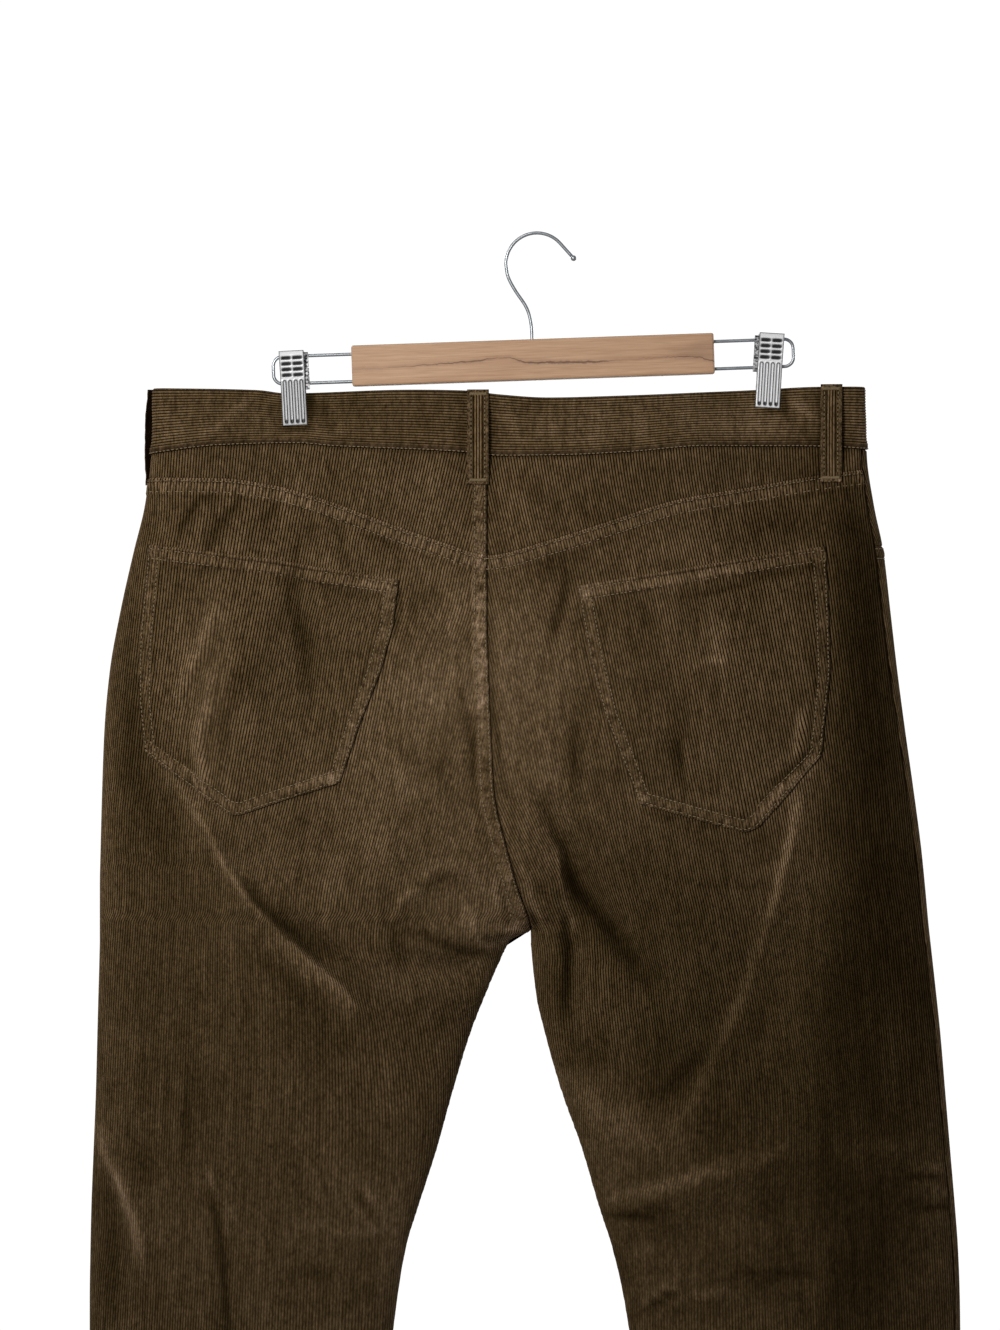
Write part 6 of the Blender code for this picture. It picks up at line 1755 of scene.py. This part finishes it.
def clip_plate(side, face, material):
    """A pressed steel plate: four round grooves down the jaw and eight dimples with raised rims above, with
    painted shade in the hollows and along its edge, and painted light on the jaw and lever.
    """
    x, drop, lean = CLIP_PLACES[side]
    frame = Matrix.Translation((x * MM, 0, -drop * MM)) @ Matrix.Rotation(math.radians(lean), 4, "Y")
    sign = OUTWARD[face]
    half = CLIP_WIDTH / 2
    xs, zs = [np.unique(np.append(np.linspace(-end, end, count), (-end + CLIP_EDGE, end - CLIP_EDGE)))
              for end, count in ((half, 53), (CLIP_HALF_HEIGHT, 121))]
    px, pz = np.meshgrid(xs, zs)
    rise = np.clip((pz - CLIP_BEND_Z) / (CLIP_HALF_HEIGHT - CLIP_BEND_Z), 0, 1)
    rise = rise + 0.012 * bell(pz - CLIP_BEND_Z, 2)
    back = CLIP_JAW_Y + (CLIP_FLARE_Y - CLIP_JAW_Y) * rise
    # dark holds the painted shade: in the grooves, darker on one wall, in the dimples and along the rounded
    # edge
    relief, dark = np.zeros(px.shape), np.zeros(px.shape)
    low, high = CLIP_GROOVE_Z
    for groove in CLIP_GROOVES:
        over = np.maximum(np.maximum(low + GROOVE_END - pz, pz - high + GROOVE_END), 0)
        far = np.hypot(px - groove, over)
        relief += GROOVE_RIM * bell(far - 1.4, 0.35) - GROOVE_DEPTH * np.exp(-(far / GROOVE_REACH) ** 4)
        wall = bell(far - 0.95, 0.36) * np.where(px < groove, 0.55, 1.0)
        foot = np.exp(-(np.hypot(px - groove, pz - low - 1.2) / 1.2) ** 6)
        dark = np.maximum(dark, np.maximum(wall, foot))
    for dimple_x in CLIP_DIMPLE_X:
        for dimple_z in CLIP_DIMPLE_Z:
            far = (((px - dimple_x) / DIMPLE_SIZE[0]) ** 4 + ((pz - dimple_z) / DIMPLE_SIZE[1]) ** 4) ** 0.25
            relief += DIMPLE_RIM * bell(far - 1.35, 0.25) - DIMPLE_DEPTH * np.exp(-far ** 6)
            shade = 0.85 + 0.15 * smoothstep(-0.5, 0.4, dimple_z - pz)
            dark = np.maximum(dark, shade * np.exp(-(far / 1.02) ** 8))
    edge = np.minimum(half - np.abs(px), CLIP_HALF_HEIGHT - np.abs(pz))
    relief -= CLIP_ROUND[0] * (1 - quarter_round(edge / CLIP_ROUND[1]))
    dark = np.maximum(dark, 0.75 * bell(edge, 0.5))
    # the jaw and the lever get painted light
    jaw = CLIP_PAINTED_LIGHT[side]
    painted_light = jaw + (LEVER_PAINTED_LIGHT - jaw) * smoothstep(CLIP_BEND_Z - 3, CLIP_BEND_Z + 2, pz)
    outer = np.stack([px, sign * (back + CLIP_PLATE + relief), pz], axis=-1)
    plate = Cloth(f"clip_plate_{side}_{face}")
    sx, sz = (px + half) / CLIP_WIDTH, (pz + CLIP_HALF_HEIGHT) / (2 * CLIP_HALF_HEIGHT)
    # the pile attribute carries the painted shade, the tone attribute the painted light
    index = plate.add_points(placed(outer, frame), sx, sz, (1 - dark) ** 2.2, painted_light)
    plate.add_grid(index, Cloth.OUTER)
    grid = np.ix_(*[np.unique(np.append(np.arange(0, len(line), 8), len(line) - 1)) for line in (zs, xs)])
    inner = np.stack([px[grid], sign * back[grid], pz[grid]], axis=-1)
    index_in = plate.add_points(placed(inner, frame), sx[grid], sz[grid], 1)
    plate.add_grid(index_in, Cloth.INNER)
    plate.close(index, index_in)
    return plate.build(material, f"clip_{side}_plate_{face}", "clip")


# ---------------------------------------------------------------- materials
BAND_TONE = 0.95
BAND_BLOOM = 0.08
YOKE_TONE = 0.86
POCKET_TONE = 0.80
FACING_TONE = 0.85
LOOP_TONE = 0.95
CURVE_SPAN = 16.0               # mm
# The wood's shake along the bar: its height over the bar's middle, and half its width.
SHAKE_LINE = ((-117, -2.6), (-84, -1.8), (-60, -0.8), (-40, 0.0), (-18, 1.6), (-3.5, -1.9), (20, -2.6),
              (41, -2.9), (63, -2.0), (85, -1.6), (103, -1.8), (110, -3.4), (117, -6.0))
SHAKE_WIDTH = ((-117, 0.04), (-88, 0.1), (-60, 0.5), (-38, 0.8), (-20, 0.15), (-5, 0.8), (18, 1.3), (40, 1.1),
               (52, 0.15), (80, 0.2), (104, 0.45), (117, 0.7))
STAIN_REACH = 0.0024            # m, on each side of the shake
# painted shade in the grooves between the wales, over their own darker ground
GROOVE_SHADE_COLOUR = (0.0066, 0.0027, 0.0005)
CROWN_COLOUR = (0.169, 0.112, 0.0555)
NOISE_SPAN = (0.3, 0.7)         # what most of a noise's values lie between
TONE_POWERS = (0.96, 1.0, 1.24)     # how strongly red, green and blue follow the cloth's tone


class Nodes:
    """A material's node tree, with short calls to add and join its nodes."""

    def __init__(self, name):
        self.material = bpy.data.materials.new(name)
        self.material.use_nodes = True
        self.tree = self.material.node_tree
        self.shader = self.tree.nodes["Principled BSDF"]

    def add(self, kind, feed=None, **settings):
        """A node, its settings and its sockets' values, and what feeds its first socket."""
        node = self.tree.nodes.new("ShaderNode" + kind)
        for key, value in settings.items():
            if hasattr(node, key):
                setattr(node, key, value)
            else:
                node.inputs[key.replace("_", " ")].default_value = value
        if feed is not None:
            self.join(feed, node.inputs[0])
        return node

    def finish(self, **values):
        """Sets the shader's sockets to values that are the same all over, or joins them to nodes."""
        for key, value in values.items():
            self.feed(self.shader.inputs[key.replace("_", " ")], value)
        return self.material

    def feed(self, socket, value):
        if isinstance(value, bpy.types.NodeSocket):
            self.join(value, socket)
        else:
            socket.default_value = (*value, 1) if isinstance(value, tuple) else value

    def bump(self, height, strength, distance):
        node = self.add("Bump", Strength=strength, Distance=distance)
        self.join(height, node.inputs["Height"])
        return node.outputs[0]

    def join(self, output, target):
        self.tree.links.new(output, target)

    def attribute(self, name):
        return self.add("Attribute", attribute_name=name).outputs["Fac"]

    def noise(self, vector, scale, detail=2.0, roughness=0.5):
        return self.add("TexNoise", vector, Scale=scale, Detail=detail, Roughness=roughness).outputs["Fac"]

    def span(self, value, from_min, from_max, to_min, to_max, kind="LINEAR"):
        return self.add("MapRange", value, interpolation_type=kind, From_Min=from_min, From_Max=from_max,
                        To_Min=to_min, To_Max=to_max).outputs["Result"]

    def math(self, operation, *values):
        node = self.add("Math", operation=operation)
        for socket, value in zip(node.inputs, values):
            self.feed(socket, value)
        return node.outputs[0]

    def mix(self, factor, first, second, blend="MIX"):
        node = self.add("Mix", data_type="RGBA", blend_type=blend)
        for socket, value in zip([s for s in node.inputs if s.enabled], (factor, first, second)):
            self.feed(socket, value)
        return [s for s in node.outputs if s.enabled][0]

    def blend(self, factor, first, second):
        """The same between two numbers."""
        node = self.add("Mix", data_type="FLOAT")
        for socket, value in zip([s for s in node.inputs if s.enabled], (factor, first, second)):
            self.feed(socket, value)
        return node.outputs[0]

    def curve(self, value, points):
        """A number in metres that follows a drawn curve of (position, number) in millimetres."""
        node = self.add("FloatCurve")
        line = node.mapping.curves[0]
        for k, (position, number) in enumerate(points):
            x = (position - points[0][0]) / (points[-1][0] - points[0][0])
            if 0 < k < len(points) - 1:
                line.points.new(x, 0.5 + number / CURVE_SPAN)
            else:
                line.points[0 if k == 0 else -1].location = (x, 0.5 + number / CURVE_SPAN)
        node.mapping.update()
        self.join(self.span(value, points[0][0] * MM, points[-1][0] * MM, 0.0, 1.0), node.inputs["Value"])
        return self.span(node.outputs[0], 0.0, 1.0, -CURVE_SPAN * MM / 2, CURVE_SPAN * MM / 2)

    def scaled(self, vector, scale):
        return self.add("Mapping", vector, Scale=scale).outputs[0]


def plain_material(name, colour, roughness):
    return Nodes(name).finish(Base_Color=colour, Roughness=roughness)


def corduroy_material():
    """Brown cotton pile: painted shade between the wales over their darker ground, paler rubbed crowns, the
    painted light and shade that the tone attribute carries, and a little fluff over all.
    """
    n = Nodes("corduroy")
    place = n.add("TexCoord").outputs["Object"]
    pile, tone, seam = n.attribute("pile"), n.attribute("tone"), n.attribute("seam")
    beside = n.add("CombineXYZ")
    n.join(n.attribute("along"), beside.inputs[0])
    n.join(n.attribute("beside"), beside.inputs[1])
    tuft = n.noise(n.scaled(place, (800, 800, 330)), 1.0, 2.0, 0.7)
    speckle = n.noise(place, 950.0, 2.0, 0.7)
    blotch = n.noise(place, 22.0, 4.0, 0.7)
    streak = n.noise(n.scaled(place, (420, 420, 26)), 1.0, 2.0, 0.6)
    mottle = n.noise(n.scaled(place, (230, 230, 150)), 1.0, 3.0, 0.6)
    pucker = n.noise(n.scaled(beside.outputs[0], (0.24, 0.11, 0)), 1.0, 2.0, 0.6)
    rib = n.span(pile, 0.5, 1.0, 0.0, 1.0, "SMOOTHSTEP")
    crown = n.blend(seam, rib, n.span(speckle, 0.38, 0.62, 0.05, 0.95))
    crown_share = n.math("MULTIPLY", crown, n.span(tuft, *NOISE_SPAN, 0.45, 1.4))
    crown_share = n.blend(n.attribute("bloom"), crown_share, n.span(tuft, *NOISE_SPAN, 0.28, 0.68))
    # the grooves take the painted shade colour, the crowns the cloth's own
    cloth = n.mix(crown_share, GROOVE_SHADE_COLOUR, CROWN_COLOUR)
    level = tone
    for layer, reach in ((blotch, 0.18), (streak, 0.22), (mottle, 0.24)):
        level = n.math("MULTIPLY", level, n.span(layer, *NOISE_SPAN, 1 - reach, 1 + reach))
    # painted light and shade of the puckers along sewn edges
    level = n.math("MULTIPLY", level, n.blend(seam, 1.0, n.span(pucker, 0.34, 0.66, 0.52, 1.55)))
    grey = n.add("CombineColor")
    for socket, power in zip(grey.inputs, TONE_POWERS):
        n.join(n.math("POWER", level, power), socket)
    fluff = n.noise(place, 1500.0, 2.0, 0.7)
    relief = n.math("ADD", n.math("MULTIPLY", fluff, 0.35), n.math("MULTIPLY", seam, pucker))
    relief = n.math("ADD", relief, n.math("MULTIPLY", n.math("MULTIPLY", seam, speckle), 0.5))
    return n.finish(Base_Color=n.mix(1.0, cloth, grey.outputs[0], "MULTIPLY"), Roughness=0.95,
                    Specular_IOR_Level=0.03, Sheen_Weight=0.08, Sheen_Roughness=0.4,
                    Sheen_Tint=(1.0, 0.64, 0.34), Normal=n.bump(relief, 0.7, 0.0008))


def wood_material():
    """Pale varnished wood, its grain along the bar, with one dark wandering shake."""
    n = Nodes("wood")
    place = n.add("Mapping", n.add("TexCoord").outputs["Object"],
                  Location=(-BAR_CENTRE[0] * MM, 0, BAR_CENTRE[1] * MM)).outputs[0]
    place = n.add("Mapping", place, Rotation=(0, math.radians(BAR_TILT), 0)).outputs[0]
    grain = n.noise(n.scaled(place, (9, 160, 420)), 1.0, 4.0, 0.65)
    fibre = n.noise(n.scaled(place, (60, 900, 2400)), 1.0, 2.0, 0.6)
    patch = n.noise(n.scaled(place, (14, 30, 60)), 1.0, 2.0, 0.5)
    wood = n.mix(n.span(grain, 0.34, 0.66, 0, 1), (0.53, 0.315, 0.185), (0.64, 0.41, 0.26))
    wood = n.mix(n.span(patch, 0.55, 0.75, 0.0, 0.5), wood, (0.36, 0.21, 0.13))
    split = n.add("SeparateXYZ", place)
    wander = n.noise(n.scaled(place, (160, 0, 0)), 1.0, 2.0, 0.6)
    wander = n.span(wander, *NOISE_SPAN, -0.0005, 0.0005)
    line = n.math("ADD", n.curve(split.outputs["X"], SHAKE_LINE), wander)
    away = n.math("ABSOLUTE", n.math("SUBTRACT", split.outputs["Z"], line))
    ragged = n.span(n.noise(n.scaled(place, (300, 0, 900)), 1.0, 3.0), 0.35, 0.65, 0.5, 1.3)
    width = n.math("MULTIPLY", n.curve(split.outputs["X"], SHAKE_WIDTH), ragged)
    crack, stain = [n.math("SUBTRACT", 1.0, n.math("MINIMUM", n.math("DIVIDE", away, reach), 1.0))
                    for reach in (width, STAIN_REACH)]
    wood = n.mix(n.math("MULTIPLY", stain, 0.35), wood, (0.30, 0.16, 0.10))
    wood = n.mix(n.math("MULTIPLY", crack, 0.9), wood, (0.10, 0.05, 0.03))
    fine = n.mix(n.span(fibre, *NOISE_SPAN, 0, 1), (0.78, 0.76, 0.74), (1.0, 1.0, 1.0))
    wood = n.mix(1.0, wood, fine, "MULTIPLY")
    relief = n.math("SUBTRACT", n.math("MULTIPLY", grain, 0.5), crack)
    return n.finish(Base_Color=wood, Roughness=0.42, Specular_IOR_Level=0.4,
                    Normal=n.bump(relief, 0.25, 0.0003))


def spring_material():
    """Dark sprung wire with painted highlights where its turns catch the light."""
    n = Nodes("clip_steel")
    turns = n.noise(n.scaled(n.add("TexCoord").outputs["Object"], (500, 500, 700)), 1.0, 2.0, 0.6)
    colour = n.mix(n.span(turns, 0.42, 0.62, 0, 1), (0.03, 0.03, 0.035), (0.6, 0.61, 0.63))
    return n.finish(Base_Color=colour, Roughness=0.4, Metallic=0.4)


def steel_material(name, colour, roughness, metallic=0.7, pressed=False):
    """Zinc-plated steel; on pressed plates the attributes paint shade into the hollows and paint light, less
    on the flat jaw than on the lever.
    """
    n = Nodes(name)
    if pressed:
        level = n.add("CombineColor")
        for socket in level.inputs:
            n.join(n.attribute("tone"), socket)
        painted_light_colour = n.mix(1.0, colour, level.outputs[0], "MULTIPLY")
        # painted shade in the hollows, over the painted light of the tone attribute
        colour = n.mix(n.attribute("pile"), (0.012, 0.012, 0.014), painted_light_colour)
    wear = n.noise(n.add("TexCoord").outputs["Object"], 260.0, 3.0, 0.6)
    wear = n.span(wear, *NOISE_SPAN, roughness * 0.8, roughness * 1.3)
    return n.finish(Base_Color=colour, Roughness=wear, Metallic=metallic)


# ---------------------------------------------------------------- putting it together
# Patches: name, half, face, seams, rows, how far the top stands open, and tone.
PATCHES = (
    ("pocket_back_left", "left", "back", POCKET_SEAMS, 40, 1.0, POCKET_TONE),
    ("pocket_back_right", "right", "back", POCKET_SEAMS, 40, 1.0, POCKET_TONE),
    ("fly_facing", "left", "front", FLY_SEAMS, 30, 0.0, 0.9),
)


def dress_node(name, material):
    """A CAD piece shown as it is, with its own material."""
    node = bpy.data.objects[name]
    node.data.materials.clear()
    node.data.materials.append(material)


def main():
    make_camera()
    make_studio()
    cloth = corduroy_material()
    thread_look = plain_material("thread", (0.235, 0.17, 0.09), 0.7)
    steel = steel_material("steel", (0.40, 0.43, 0.46), 0.32)
    clip_steel = spring_material()
    plate_steel = steel_material("plate_steel", (0.92, 0.94, 0.99), 0.42, 0.12, pressed=True)
    thread = Thread()

    def lay(piece, seams):
        """Sews a finished piece's seams and hands back its base."""
        base, obj = piece
        sew(thread, base, seams)
        return base

    for half in ("left", "right"):
        for face in ("back", "front"):
            seams = PANEL_SEAMS[half, face]
            base = lay(leg_panel(half, face, cloth), seams)
            edges = "under" if face == "back" else "turned"
            seams = [("top", edges, None, 0.7), ("foot", edges, None, 3.3), ("outer", "plain", None, 1.0)]
            if face == "back":
                name, tone, share = f"yoke_{half}", YOKE_TONE, np.linspace(0, 1, SAMPLES)
                seams.append(("inner", "centre" if half == "left" else "plain", None, 2.1))
            else:
                start, x = scoop_start_x(half), base["points"][0, :, 0]
                ahead = x < start if half == "left" else x > start
                stop = np.flatnonzero(ahead)[-1] / (SAMPLES - 1) * FACING_STOP
                name, tone, share = f"pocket_facing_{half}", FACING_TONE, np.linspace(0, stop, SAMPLES // 2)
            lay(upper_piece(name, half, face, base, share, seams, cloth, tone), seams)
    for name, half, face, seams, rows, gape, tone in PATCHES:
        lay(patch_piece(name, half, face, seams, cloth, rows, gape, tone), seams)
    base, obj = waistband(cloth)
    row = int(np.searchsorted(base["rows"], base["rows"][-1] - BAND_STITCH))
    lowered = base["points"][row] + base["normals"][row] * (BAND_STITCH_LIFT - BAND_PRESS + THREAD_LIFT)
    thread.run(lowered[2:-2], base["normals"][row][2:-2])
    for name, half, face, distance, top, bottom in LOOP_ROWS:
        obj = belt_loop(name, half, face, distance, top, bottom, cloth, thread)
    waist_button(plain_material("horn", (0.075, 0.05, 0.032), 0.3), thread)
    buttonhole(thread)
    thread.build("stitching", thread_look)
    hook(steel)
    dress_node("hanger_bar", wood_material())
    for side in ("left", "right"):
        wire_loop(side, steel)
        dress_node(f"clip_{side}_spring", clip_steel)
        for face in ("back", "front"):
            clip_plate(side, face, plate_steel)


main()
